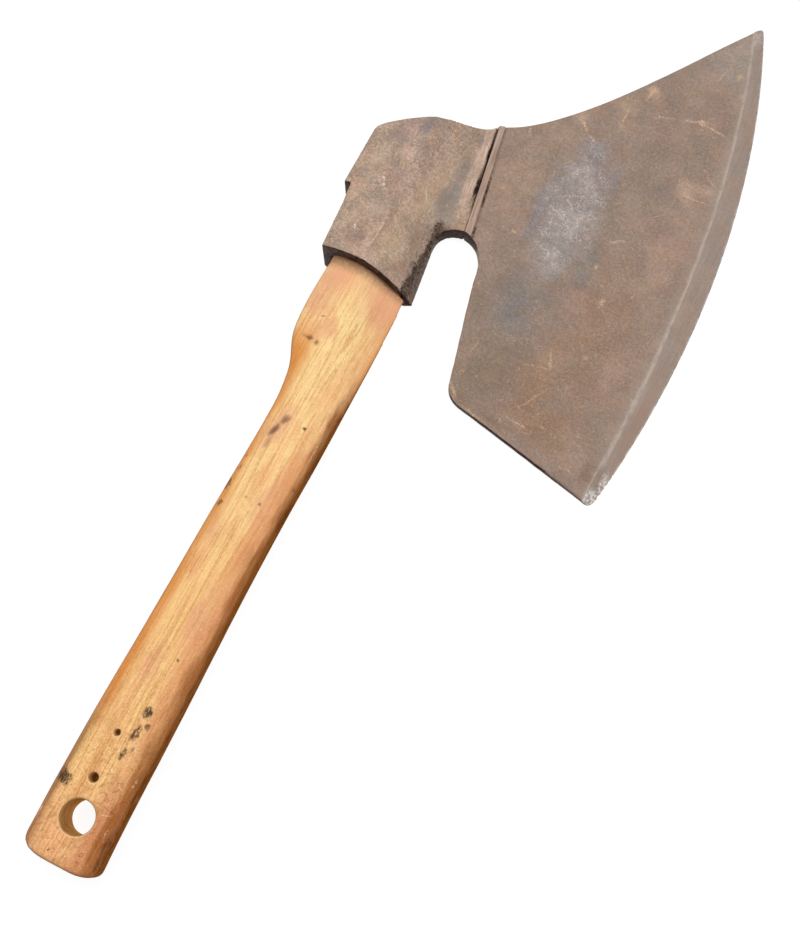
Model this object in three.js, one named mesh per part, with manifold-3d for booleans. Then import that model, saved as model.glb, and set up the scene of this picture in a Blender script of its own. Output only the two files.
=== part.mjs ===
// Broad axe: a single-bevel hewing axe lying on its flat back, as separate forged and wooden pieces.
//
// Drafting frame, millimetres: the origin is the centre of the hang hole in the handle, on the plane
// of the flat back. +X points to the cutting edge, +Y runs up the handle to the head, +Z is the
// bevelled side. At the end the whole axe is moved so that its box stands centred on the origin.

import * as THREE from 'three';
import { mergeVertices } from 'three/addons/utils/BufferGeometryUtils.js';
import Module from 'manifold-3d';

const wasm = await Module();
wasm.setup();

// ---------------------------------------------------------------- driving dimensions

const GAP = 0.3;                    // clearance between two pieces that touch
const OVERSHOOT = 10;               // how far a cutting solid runs past what it cuts
const ABOVE_ALL = 50;               // higher than any piece

const BLADE_ROOT_THICKNESS = 10;    // at the seam with the socket
const BLADE_TIP_THICKNESS = 3.2;    // far from the seam
const BLADE_THINNING_LENGTH = 55;   // distance over which most of the thinning happens
const EDGE_THICKNESS = 0.4;         // flat left on the cutting edge

const RIB_WIDTH_TOP = 3.8;          // raised bead along the root of the blade
const RIB_WIDTH_BOTTOM = 4.8;
const RIB_HEIGHT = 11.4;

const LUG_HEIGHT = 10;              // socket plate beside the seam
const MOUTH_Y = 344.5;              // lower end of the socket
const EYE_END_Y = 490;              // past the upper end of the socket
const TONGUE_THICKNESS = 3;         // the back plate runs a little further down, under the handle
const NOTCH_TOP_Y = 398.4;          // top of the gap between socket and beard
const POLL_STEP_Y = 391;            // lower end of the thicker poll

const EYE_CLEARANCE = 0.8;          // looseness of the tenon in the eye
const TENON_PROUD = 1.5;            // how far the tenon stands out of the top of the eye

const GRIP_THICKNESS = 26;
const GRIP_CENTRE_Z = 14.5;
const BUTT_Y = -25.4;
const BUTT_CORNER_RADIUS = 13;
const BUTT_CORNER_REACH = 6.4;      // how far up the handle the corners are rounded
const BUTT_EDGE_RADIUS = 4;
const GRIP_POWER = 3.6;             // of the superellipse section: 2 is an ellipse, more is boxier
const DROP_START_Y = 205;           // between these the boxy grip turns into the drop shape of the eye
const DROP_END_Y = 330;
const SHOULDER_Y = 342.3;           // where the handle steps in to the tenon, just below the mouth
const SHOULDER_RISE = 0.4;
const HANG_HOLE_DIAMETER = 18;
const HANG_HOLE_X = 0.5;
const PILOT_HOLES = [
  { x: -2, y: 20.4, diameter: 5, depth: 12 },
  { x: -2.6, y: 45.1, diameter: 3.4, depth: 8 },
];

const WOOD_WEDGE = {
  width: 30, centreX: -13, centreZ: 12, headThickness: 6, tipThickness: 1.2, headY: 470, tipY: 403,
};
const STEEL_WEDGE = { height: 12, headThickness: 4, tipThickness: 1, headY: 475, tipY: 426 };
const STEEL_WEDGE_PLACES = [-21, -6];

// ---------------------------------------------------------------- materials

const material = (color, roughness, metalness) =>
  new THREE.MeshStandardMaterial({ color, roughness, metalness });

const rustedIron = material(0x7a6658, 0.72, 0.75);
const rustedSteel = material(0x84766a, 0.6, 0.85);
const darkIron = material(0x5f5149, 0.78, 0.7);
const wedgeIron = material(0x4b403a, 0.7, 0.8);
const varnishedAsh = material(0xc98f4e, 0.5, 0);
const paleWood = material(0xb59467, 0.75, 0);

// ---------------------------------------------------------------- solids and booleans

function toSolid(geometry) {
  const bare = geometry.index ? geometry.clone() : geometry;
  bare.deleteAttribute('normal');
  bare.deleteAttribute('uv');
  const merged = mergeVertices(bare, 1e-4);
  return new wasm.Manifold(new wasm.Mesh({
    numProp: 3,
    vertProperties: new Float32Array(merged.attributes.position.array),
    triVerts: new Uint32Array(merged.index.array),
  }));
}

function toGeometry(solid) {
  const mesh = solid.getMesh();
  const geometry = new THREE.BufferGeometry();
  geometry.setAttribute('position', new THREE.BufferAttribute(mesh.vertProperties, 3));
  geometry.setIndex(new THREE.BufferAttribute(mesh.triVerts, 1));
  geometry.computeVertexNormals();
  return geometry;
}

// A closed skin through rings of equal point count, with a fan over each end. The rings follow one
// another along +Y, and each runs clockwise as seen from the butt.
function loftGeometry(rings) {
  const count = rings[0].length;
  const positions = rings.flat().flatMap((point) => [point.x, point.y, point.z]);
  const indices = [];
  for (let ring = 0; ring + 1 < rings.length; ring += 1) {
    for (let side = 0; side < count; side += 1) {
      const next = (side + 1) % count;
      const a = ring * count + side;
      const b = ring * count + next;
      indices.push(a, b, b + count, a, b + count, a + count);
    }
  }
  const last = (rings.length - 1) * count;
  for (let side = 1; side + 1 < count; side += 1) {
    indices.push(0, side + 1, side, last, last + side, last + side + 1);
  }
  const geometry = new THREE.BufferGeometry();
  geometry.setAttribute('position', new THREE.Float32BufferAttribute(positions, 3));
  geometry.setIndex(indices);
  return geometry;
}

// A plan outline raised from one height to another.
function plate(shape, bottom, top, curveSegments = 16) {
  const geometry = new THREE.ExtrudeGeometry(shape, {
    depth: top - bottom,
    bevelEnabled: false,
    curveSegments,
  });
  geometry.translate(0, 0, bottom);
  return toSolid(geometry);
}

function polygon(points) {
  return new THREE.Shape(points.map(([x, y]) => new THREE.Vector2(x, y)));
}

// ---------------------------------------------------------------- the blade's outline

const vector = (x, y) => new THREE.Vector2(x, y);

const seamTop = vector(18.9, 477.4);
const seamBottom = vector(31.2, NOTCH_TOP_Y);
const bevelTop = vector(139.3, 623.2);
const bevelBottom = vector(164.8, 274.1);

const topEdge = new THREE.CubicBezierCurve(seamTop, vector(56.4, 492.2), vector(114.4, 590), bevelTop);
const cuttingEdge = new THREE.CubicBezierCurve(
  vector(170.6, 271), vector(193.6, 391.8), vector(185.1, 520.2), vector(142.8, 634.4),
);
const bevelLine = new THREE.CubicBezierCurve(
  vector(163.9, 264), vector(173.9, 390.7), vector(171.7, 508.9), vector(137.2, 631.6),
);

// Distance from a plan point to the seam, which the thickness of the blade depends on.
function distanceToSeam(x, y) {
  const along = seamBottom.clone().sub(seamTop);
  const offset = vector(x, y).sub(seamTop);
  const share = THREE.MathUtils.clamp(offset.dot(along) / along.lengthSq(), 0, 1);
  return offset.sub(along.multiplyScalar(share)).length();
}

function bladeThickness(x, y) {
  const decay = Math.exp(-distanceToSeam(x, y) / BLADE_THINNING_LENGTH);
  return BLADE_TIP_THICKNESS + (BLADE_ROOT_THICKNESS - BLADE_TIP_THICKNESS) * decay;
}

// A block whose top follows a height formula over a grid in plan.
function heightBlock(x0, x1, y0, y1, step, height) {
  const columns = Math.ceil((x1 - x0) / step);
  const rows = Math.ceil((y1 - y0) / step);
  const geometry = new THREE.BoxGeometry(x1 - x0, y1 - y0, 1, columns, rows, 1);
  geometry.translate((x0 + x1) / 2, (y0 + y1) / 2, 0);
  const position = geometry.attributes.position;
  for (let i = 0; i < position.count; i += 1) {
    const isTop = position.getZ(i) > 0;
    position.setZ(i, isTop ? height(position.getX(i), position.getY(i)) : -OVERSHOOT);
  }
  return toSolid(geometry);
}

function bladeBody() {
  const outline = new THREE.Shape();
  outline.moveTo(seamTop.x + GAP, seamTop.y);
  outline.bezierCurveTo(topEdge.v1.x, topEdge.v1.y, topEdge.v2.x, topEdge.v2.y, bevelTop.x, bevelTop.y);
  outline.lineTo(200, 650);
  outline.lineTo(200, bevelBottom.y);
  outline.lineTo(bevelBottom.x, bevelBottom.y);
  outline.lineTo(76.5, 295.2);
  outline.quadraticCurveTo(67.2, 297.4, 64.9, 306);
  outline.bezierCurveTo(60.8, 325.5, 55.1, 346.8, 50.7, 369);
  outline.bezierCurveTo(48.7, 374.1, 50.5, 395.4, seamBottom.x + GAP, seamBottom.y);
  outline.closePath();

  const top = heightBlock(15, 185, 265, 635, 12, bladeThickness);
  const skin = plate(outline, 0, 2 * BLADE_ROOT_THICKNESS, 20);
  const rib = plate(polygon([
    [seamTop.x, seamTop.y + OVERSHOOT],
    [seamTop.x, seamTop.y],
    [seamBottom.x, seamBottom.y],
    [seamBottom.x, seamBottom.y - OVERSHOOT],
    [seamBottom.x + RIB_WIDTH_BOTTOM, seamBottom.y - OVERSHOOT],
    [seamTop.x + RIB_WIDTH_TOP, seamTop.y + OVERSHOOT],
  ]), 0, RIB_HEIGHT);

  // Everything on the far side of the bevel line belongs to the steel bit.
  const beyondBevel = new THREE.Shape(bevelLine.getPoints(40));
  beyondBevel.lineTo(220, 650);
  beyondBevel.lineTo(220, 240);
  return skin.intersect(top)
    .add(skin.intersect(rib))
    .subtract(plate(beyondBevel, -OVERSHOOT, 2 * BLADE_ROOT_THICKNESS));
}

// The steel bit: a strip from the bevel line to the cutting edge, ground on its upper side only.
function steelBit() {
  const stations = 48;
  const inner = bevelLine.getPoints(stations);
  const outer = cuttingEdge.getPoints(stations);
  const rings = inner.map((point, i) => {
    const reach = outer[i].clone().sub(point).normalize().multiplyScalar(GAP);
    const start = point.clone().add(reach);
    return [
      new THREE.Vector3(start.x, start.y, 0),
      new THREE.Vector3(start.x, start.y, bladeThickness(point.x, point.y)),
      new THREE.Vector3(outer[i].x, outer[i].y, EDGE_THICKNESS),
      new THREE.Vector3(outer[i].x, outer[i].y, 0),
    ];
  });

  const heelTrim = new THREE.Shape();
  heelTrim.moveTo(120, 285.9);
  heelTrim.lineTo(166.2, 273.8);
  heelTrim.quadraticCurveTo(170.6, 272.8, 171.8, 279.4);
  heelTrim.lineTo(200, 279.4);
  heelTrim.lineTo(200, 240);
  heelTrim.lineTo(120, 240);

  const toeTrim = new THREE.Shape();
  toeTrim.moveTo(200, 660);
  toeTrim.lineTo(120, 660);
  toeTrim.lineTo(120, 592.3);
  toeTrim.lineTo(bevelTop.x, bevelTop.y);
  toeTrim.lineTo(141.6, 626.9);
  toeTrim.quadraticCurveTo(143.9, 630.6, 145.4, 626.9);
  toeTrim.lineTo(200, 626.9);

  return toSolid(loftGeometry(rings))
    .subtract(plate(heelTrim, -OVERSHOOT, OVERSHOOT))
    .subtract(plate(toeTrim, -OVERSHOOT, OVERSHOOT));
}

// ---------------------------------------------------------------- socket and poll

// The roof of the socket in sections across the handle, from below the mouth to above the top. Under
// the lug its right side is rounded over, down to the flat back.
const ROOF_SECTIONS = [
  {
    y: 330,
    profile: [
      [-60, 17], [-46.8, 22.6], [-38.4, 25.6], [-29.5, 28.7], [-19, 30.3], [-9.5, 31],
      [-1.5, 27], [5.8, 21.2], [13.3, 14.2], [17.5, 9.5], [20.4, 5.5], [22.4, 1.5], [60, 1.5],
    ],
  },
  {
    y: 378,
    profile: [
      [-60, 17.3], [-46.8, 23], [-38.4, 26], [-29.5, 29.2], [-19, 31], [-11.5, 31.8],
      [-3.5, 27.4], [4, 21.3], [10.2, 15.6], [13.8, 11.5], [16.2, 7.5], [17.8, 3], [60, 3],
    ],
  },
  {
    y: 398,
    profile: [
      [-60, 17.5], [-46.8, 23.2], [-39, 26.2], [-30, 29.4], [-20, 31.4], [-12.5, 32.2],
      [-4.5, 28], [3, 22], [10.5, 15.6], [14, 12.4], [17.5, LUG_HEIGHT], [24, LUG_HEIGHT],
      [60, LUG_HEIGHT],
    ],
  },
  {
    y: 490,
    profile: [
      [-60, 18], [-46.8, 23.6], [-40, 26.6], [-31, 30], [-22, 32], [-15, 33],
      [-7, 29], [0.5, 22.8], [8, 16], [12, 12.6], [16, LUG_HEIGHT], [24, LUG_HEIGHT],
      [60, LUG_HEIGHT],
    ],
  },
];

function roofBlock() {
  const ring = (profile, y) => [
    ...profile.map(([x, z]) => new THREE.Vector3(x, y, z)),
    new THREE.Vector3(60, y, 0),
    new THREE.Vector3(-60, y, 0),
  ];
  return toSolid(loftGeometry(ROOF_SECTIONS.map(({ y, profile }) => ring(profile, y))));
}

// The eye's contour, seen along the handle: a drop, deep at the poll and thin towards the blade.
const eyeCurve = new THREE.CatmullRomCurve3([
  [14, 6], [12.5, 4.6], [6, 4.6], [-8, 4.6], [-22, 4.8], [-31, 6], [-32.4, 11],
  [-31, 18.2], [-24, 21.4], [-11, 22.4], [-4.5, 19.8], [2, 15.5], [9, 10],
].map(([x, z]) => new THREE.Vector3(x, 0, z)), true, 'centripetal');

function eyeContour(grow, count) {
  return Array.from({ length: count }, (_, i) => {
    const point = eyeCurve.getPointAt(i / count);
    const tangent = eyeCurve.getTangentAt(i / count);
    return new THREE.Vector3(point.x - grow * tangent.z, 0, point.z + grow * tangent.x);
  });
}

function alongHandle(contour, y) {
  return contour.map((point) => new THREE.Vector3(point.x, y, point.z));
}

function eyeSocket() {
  const outline = new THREE.Shape();
  outline.moveTo(-38.8, MOUTH_Y);
  outline.lineTo(22, MOUTH_Y - 1.6);
  outline.lineTo(17.8, 378);
  outline.bezierCurveTo(14.6, 395, 25.6, 397.8, seamBottom.x, seamBottom.y);
  outline.lineTo(seamTop.x - 0.8, seamTop.y - 0.8);
  outline.quadraticCurveTo(10, 466, -4, 457.5);
  outline.quadraticCurveTo(-11, 452.6, -18, 450);
  outline.lineTo(-42.6, 438.6);
  outline.lineTo(-42.6, POLL_STEP_Y - 2);
  outline.quadraticCurveTo(-42.2, 383, -41, 376);
  outline.closePath();

  const eye = toSolid(loftGeometry([
    alongHandle(eyeContour(EYE_CLEARANCE, 40), MOUTH_Y - OVERSHOOT),
    alongHandle(eyeContour(EYE_CLEARANCE, 40), EYE_END_Y),
  ]));

  const tongue = new THREE.Shape();
  tongue.moveTo(22, MOUTH_Y - 1.6);
  tongue.quadraticCurveTo(-2, 331, -38.8, MOUTH_Y);
  tongue.lineTo(0, MOUTH_Y + OVERSHOOT);
  return plate(outline, 0, ABOVE_ALL)
    .intersect(roofBlock())
    .subtract(eye)
    .add(plate(tongue, 0, TONGUE_THICKNESS));
}

function pollPlate() {
  const outline = new THREE.Shape();
  outline.moveTo(-42.6 - GAP, POLL_STEP_Y);
  outline.lineTo(-42.6 - GAP, 438.4);
  outline.quadraticCurveTo(-47.6, 436.6, -48.2, 432.5);
  outline.lineTo(-48.2, POLL_STEP_Y);
  outline.closePath();
  return plate(outline, 0, ABOVE_ALL).intersect(roofBlock());
}

// ---------------------------------------------------------------- handle and wedges

// Plan edges of the handle: [distance along the handle, x of the left edge, x of the right edge].
const HANDLE_EDGES = [
  [-27, -20.6, 23.1], [0, -21.3, 21.9], [60, -21.3, 20.9], [110, -20.3, 19.6], [180, -19.4, 18.9],
  [230, -18.5, 19.7], [252, -19.3, 19.8], [270, -22.5, 19.6], [290, -30.6, 19.4], [304, -32.6, 19.1],
  [320, -33.1, 18.8], [345, -32.1, 17.2],
];
const leftEdge = new THREE.SplineCurve(HANDLE_EDGES.map(([y, x]) => vector(y, x)));
const rightEdge = new THREE.SplineCurve(HANDLE_EDGES.map(([y, , x]) => vector(y, x)));
const RING_SIDES = 40;
const SPLINE_HALVINGS = 30;

// Finds the height of a spline, given as (y, x) points, at one distance along the handle.
function edgeAt(spline, y) {
  let low = 0;
  let high = 1;
  for (let i = 0; i < SPLINE_HALVINGS; i += 1) {
    const middle = (low + high) / 2;
    if (spline.getPoint(middle).x < y) {
      low = middle;
    } else {
      high = middle;
    }
  }
  return spline.getPoint(low).y;
}

// How much of the full half width is left near the butt, where the end is rounded over.
function roundedEnd(distance, radius) {
  const inside = THREE.MathUtils.clamp(distance / radius, 0, 1);
  return Math.sqrt(1 - (1 - inside) ** 2);
}

function gripRing(y) {
  const left = edgeAt(leftEdge, y);
  const right = edgeAt(rightEdge, y);
  const fromButt = y - BUTT_Y;
  const cornerLoss = BUTT_CORNER_RADIUS * (1 - roundedEnd(fromButt, BUTT_CORNER_REACH));
  const halfWidth = (right - left) / 2 - cornerLoss;
  const halfThickness = GRIP_THICKNESS / 2 - BUTT_EDGE_RADIUS * (1 - roundedEnd(fromButt, BUTT_EDGE_RADIUS));
  return Array.from({ length: RING_SIDES }, (_, i) => {
    const angle = (-i / RING_SIDES) * 2 * Math.PI;
    const cos = Math.cos(angle);
    const sin = Math.sin(angle);
    return new THREE.Vector3(
      (left + right) / 2 + halfWidth * Math.sign(cos) * Math.abs(cos) ** (2 / GRIP_POWER),
      y,
      GRIP_CENTRE_Z + halfThickness * Math.sign(sin) * Math.abs(sin) ** (2 / GRIP_POWER),
    );
  });
}

// The tenon's section stretched to the handle's width.
function dropRing(y, tenon) {
  const left = edgeAt(leftEdge, y);
  const right = edgeAt(rightEdge, y);
  const low = Math.min(...tenon.map((point) => point.x));
  const high = Math.max(...tenon.map((point) => point.x));
  const stretched = (x) => THREE.MathUtils.mapLinear(x, low, high, left, right);
  return tenon.map(({ x, z }) => new THREE.Vector3(stretched(x), y, z));
}

function handleRings() {
  const tenon = eyeContour(0, RING_SIDES);
  const buttRings = [0, 0.5, 1.3, 2.6, 4.4, 6.6].map((offset) => gripRing(BUTT_Y + offset));
  const stations = [
    -14, 0, 30, 60, 90, 120, 150, 180, 205, 225, 240, 252, 262, 270, 278, 286, 294, 300, 307, 314, 321, 328,
    335, SHOULDER_Y,
  ];
  const bodyRings = stations.map((y) => {
    const drop = dropRing(y, tenon);
    const share = THREE.MathUtils.smoothstep(y, DROP_START_Y, DROP_END_Y);
    return gripRing(y).map((point, i) => point.lerp(drop[i], share));
  });
  return [
    ...buttRings,
    ...bodyRings,
    alongHandle(tenon, SHOULDER_Y + SHOULDER_RISE),
    alongHandle(tenon, EYE_END_Y),
  ];
}

function drill(x, y, diameter, bottom, top, segments) {
  const geometry = new THREE.CylinderGeometry(diameter / 2, diameter / 2, top - bottom, segments);
  geometry.rotateX(Math.PI / 2);
  geometry.translate(x, y, (bottom + top) / 2);
  return toSolid(geometry);
}

// The line that the tenon and its wedges are trimmed to, just proud of the top of the socket.
function tenonTrim() {
  const trim = new THREE.Shape();
  trim.moveTo(-60, 430.6 + TENON_PROUD);
  trim.lineTo(-18, 450 + TENON_PROUD);
  trim.lineTo(20, 473 + TENON_PROUD);
  trim.lineTo(60, 497);
  trim.lineTo(60, 560);
  trim.lineTo(-60, 560);
  return plate(trim, -OVERSHOOT, ABOVE_ALL);
}

// A wedge driven down the tenon: its plan or side outline tapers from the head to the tip.
function woodWedge(grow) {
  const { width, centreX, centreZ, headThickness, tipThickness, headY, tipY } = WOOD_WEDGE;
  const ring = (y, thickness) => alongHandle([
    new THREE.Vector3(centreX - width / 2 - grow, 0, centreZ - thickness / 2 - grow),
    new THREE.Vector3(centreX - width / 2 - grow, 0, centreZ + thickness / 2 + grow),
    new THREE.Vector3(centreX + width / 2 + grow, 0, centreZ + thickness / 2 + grow),
    new THREE.Vector3(centreX + width / 2 + grow, 0, centreZ - thickness / 2 - grow),
  ], y);
  return toSolid(loftGeometry([ring(tipY - grow, tipThickness), ring(headY, headThickness)]));
}

function steelWedge(centreX, grow) {
  const { height, headThickness, tipThickness, headY, tipY } = STEEL_WEDGE;
  const ring = (y, thickness) => alongHandle([
    new THREE.Vector3(centreX - thickness / 2 - grow, 0, WOOD_WEDGE.centreZ - height / 2 - grow),
    new THREE.Vector3(centreX - thickness / 2 - grow, 0, WOOD_WEDGE.centreZ + height / 2 + grow),
    new THREE.Vector3(centreX + thickness / 2 + grow, 0, WOOD_WEDGE.centreZ + height / 2 + grow),
    new THREE.Vector3(centreX + thickness / 2 + grow, 0, WOOD_WEDGE.centreZ - height / 2 - grow),
  ], y);
  return toSolid(loftGeometry([ring(tipY - grow, tipThickness), ring(headY, headThickness)]));
}

function handle() {
  let solid = toSolid(loftGeometry(handleRings()))
    .subtract(tenonTrim())
    .subtract(drill(HANG_HOLE_X, 0, HANG_HOLE_DIAMETER, -OVERSHOOT, ABOVE_ALL, 48))
    .subtract(woodWedge(GAP));
  for (const hole of PILOT_HOLES) {
    const surface = GRIP_CENTRE_Z + GRIP_THICKNESS / 2;
    solid = solid.subtract(drill(hole.x, hole.y, hole.diameter, surface - hole.depth, ABOVE_ALL, 16));
  }
  for (const x of STEEL_WEDGE_PLACES) {
    solid = solid.subtract(steelWedge(x, GAP));
  }
  return solid;
}

function slottedWoodWedge() {
  let solid = woodWedge(0).subtract(tenonTrim());
  for (const x of STEEL_WEDGE_PLACES) {
    solid = solid.subtract(steelWedge(x, GAP));
  }
  return solid;
}

// ---------------------------------------------------------------- the assembly

const axe = new THREE.Group();

function addPiece(name, solid, surface) {
  const mesh = new THREE.Mesh(toGeometry(solid), surface);
  mesh.name = name;
  axe.add(mesh);
}

addPiece('blade_body', bladeBody(), rustedIron);
addPiece('steel_bit', steelBit(), rustedSteel);
addPiece('eye_socket', eyeSocket(), rustedIron);
addPiece('poll_plate', pollPlate(), darkIron);
addPiece('handle', handle(), varnishedAsh);
addPiece('wood_wedge', slottedWoodWedge(), paleWood);
STEEL_WEDGE_PLACES.forEach((x, i) => {
  addPiece(`steel_wedge_${i + 1}`, steelWedge(x, 0).subtract(tenonTrim()), wedgeIron);
});

const bounds = new THREE.Box3().setFromObject(axe, true);
const centre = bounds.getCenter(new THREE.Vector3());
axe.position.set(-centre.x, -centre.y, -bounds.min.z);

export default axe;
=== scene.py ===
"""Broad axe lying on its flat back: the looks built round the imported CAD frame.

Shapes are worked out in the drafting frame that the CAD uses: millimetres, the centre of the hang hole
as origin, +X to the cutting edge, +Y up the handle, +Z out of the bevelled side.
"""

import math
import random

import bmesh
import bpy
import numpy as np
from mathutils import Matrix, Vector, noise


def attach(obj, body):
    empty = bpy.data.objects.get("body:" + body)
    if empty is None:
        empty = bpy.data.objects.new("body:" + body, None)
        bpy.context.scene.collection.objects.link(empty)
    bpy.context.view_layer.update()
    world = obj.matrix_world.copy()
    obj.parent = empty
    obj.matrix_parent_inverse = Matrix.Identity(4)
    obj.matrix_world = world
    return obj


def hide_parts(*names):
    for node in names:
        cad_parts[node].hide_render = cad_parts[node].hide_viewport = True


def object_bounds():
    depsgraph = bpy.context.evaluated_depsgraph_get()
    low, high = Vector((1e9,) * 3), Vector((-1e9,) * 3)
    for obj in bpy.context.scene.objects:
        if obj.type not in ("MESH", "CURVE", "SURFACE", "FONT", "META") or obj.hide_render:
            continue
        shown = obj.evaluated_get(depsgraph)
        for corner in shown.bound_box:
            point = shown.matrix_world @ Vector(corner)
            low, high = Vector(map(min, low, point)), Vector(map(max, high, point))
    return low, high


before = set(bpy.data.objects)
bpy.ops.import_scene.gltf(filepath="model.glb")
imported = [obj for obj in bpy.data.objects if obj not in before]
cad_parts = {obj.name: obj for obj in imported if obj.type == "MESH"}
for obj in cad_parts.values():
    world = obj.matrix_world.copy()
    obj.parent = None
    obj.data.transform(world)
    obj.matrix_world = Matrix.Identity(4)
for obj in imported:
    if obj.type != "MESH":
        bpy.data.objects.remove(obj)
cad_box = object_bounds()

# ------------------------------------------------------------------ sizes and places, in millimetres

MM = 0.001
POLL_FACE_X = -48.2             # the lowest x and y of the axe in the drafting frame
BUTT_Y = -25.4
ORIGIN = np.array([cad_box[0].x - POLL_FACE_X * MM, cad_box[0].y - BUTT_Y * MM, 0.0])

ROOT_THICKNESS = 10.0           # blade at the seam, and far from it
TIP_THICKNESS = 3.2
THINNING_LENGTH = 55.0
EDGE_THICKNESS = 0.25
SEAM_TOP = (18.9, 477.4)
SEAM_BOTTOM = (31.2, 398.4)
BEVEL_TOP = (139.3, 623.2)
BEVEL_BOTTOM = (164.8, 274.1)
RIB_HEIGHT = 0.9
RIB_WIDTHS = (3.8, 4.8)         # at the top and the bottom of the seam

GRIP_THICKNESS = 26.0
GRIP_CENTRE_Z = 14.5
GRIP_POWER = 3.6                # of the superellipse section: 2 is an ellipse, more is boxier
HANG_HOLE = (0.5, 0.0, 9.0)     # x, y, radius
PILOT_HOLES = ((-2.0, 20.4, 2.5, 12.0), (-2.6, 45.1, 1.7, 8.0))   # x, y, radius, depth
SOCKET_VOXEL = 0.68             # size of the even grid that each forging or carving is remeshed to
HANDLE_VOXEL = 0.85

CAMERA_PLACE = (148.0, 71.0, 612.0)
CAMERA_TILT = 17.79             # degrees away from looking straight down
CAMERA_TURN = 26.2              # degrees that the handle leans in the picture
CAMERA_LENS = 42.4


def to_frame(points):
    """Drafting millimetres to metres in the row frame."""
    return np.asarray(points, float) * MM + ORIGIN


def linked(name, data):
    """A new object in the scene."""
    made = bpy.data.objects.new(name, data)
    bpy.context.scene.collection.objects.link(made)
    return made


# ------------------------------------------------------------------ stage: camera, lights and floor

def make_camera():
    data = bpy.data.cameras.new("camera")
    data.lens = CAMERA_LENS
    data.clip_start = 0.01
    camera = linked("camera", data)
    camera.location = to_frame(CAMERA_PLACE)
    camera.rotation_euler = (math.radians(CAMERA_TILT), 0, math.radians(CAMERA_TURN))
    bpy.context.scene.camera = camera


def area_light(name, place, size, power, colour):
    data = bpy.data.lights.new(name, "AREA")
    data.size = size
    data.energy = power
    data.color = colour
    lamp = linked(name, data)
    lamp.location = place
    lamp.rotation_euler = (-Vector(place)).to_track_quat("-Z", "Y").to_euler()


def make_stage():
    world = bpy.data.worlds.new("studio")
    world.use_nodes = True
    background = world.node_tree.nodes["Background"]
    background.inputs["Color"].default_value = (0.97, 0.98, 1.0, 1)
    background.inputs["Strength"].default_value = 0.38
    bpy.context.scene.world = world
    area_light("key", (-0.5, 0.6, 1.8), 1.5, 21, (1.0, 0.985, 0.96))
    area_light("fill", (0.9, 0.1, 1.7), 1.6, 12, (0.95, 0.975, 1.0))

    mesh = bpy.data.meshes.new("floor")
    reach = 4.0
    corners = [(x * reach, y * reach, -0.2 * MM) for x, y in ((-1, -1), (1, -1), (1, 1), (-1, 1))]
    mesh.from_pydata(corners, [], [(0, 1, 2, 3)])
    floor = linked("floor", mesh)
    g = Graph("pale_floor")
    g.set("Base Color", (0.16, 0.16, 0.16, 1))
    g.set("Roughness", 0.9)
    g.set("Specular IOR Level", 0.0)
    g.set("Emission Color", (1, 1, 1, 1))
    g.set("Emission Strength", 0.9)
    mesh.materials.append(g.material)


# ------------------------------------------------------------------ node graphs

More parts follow.
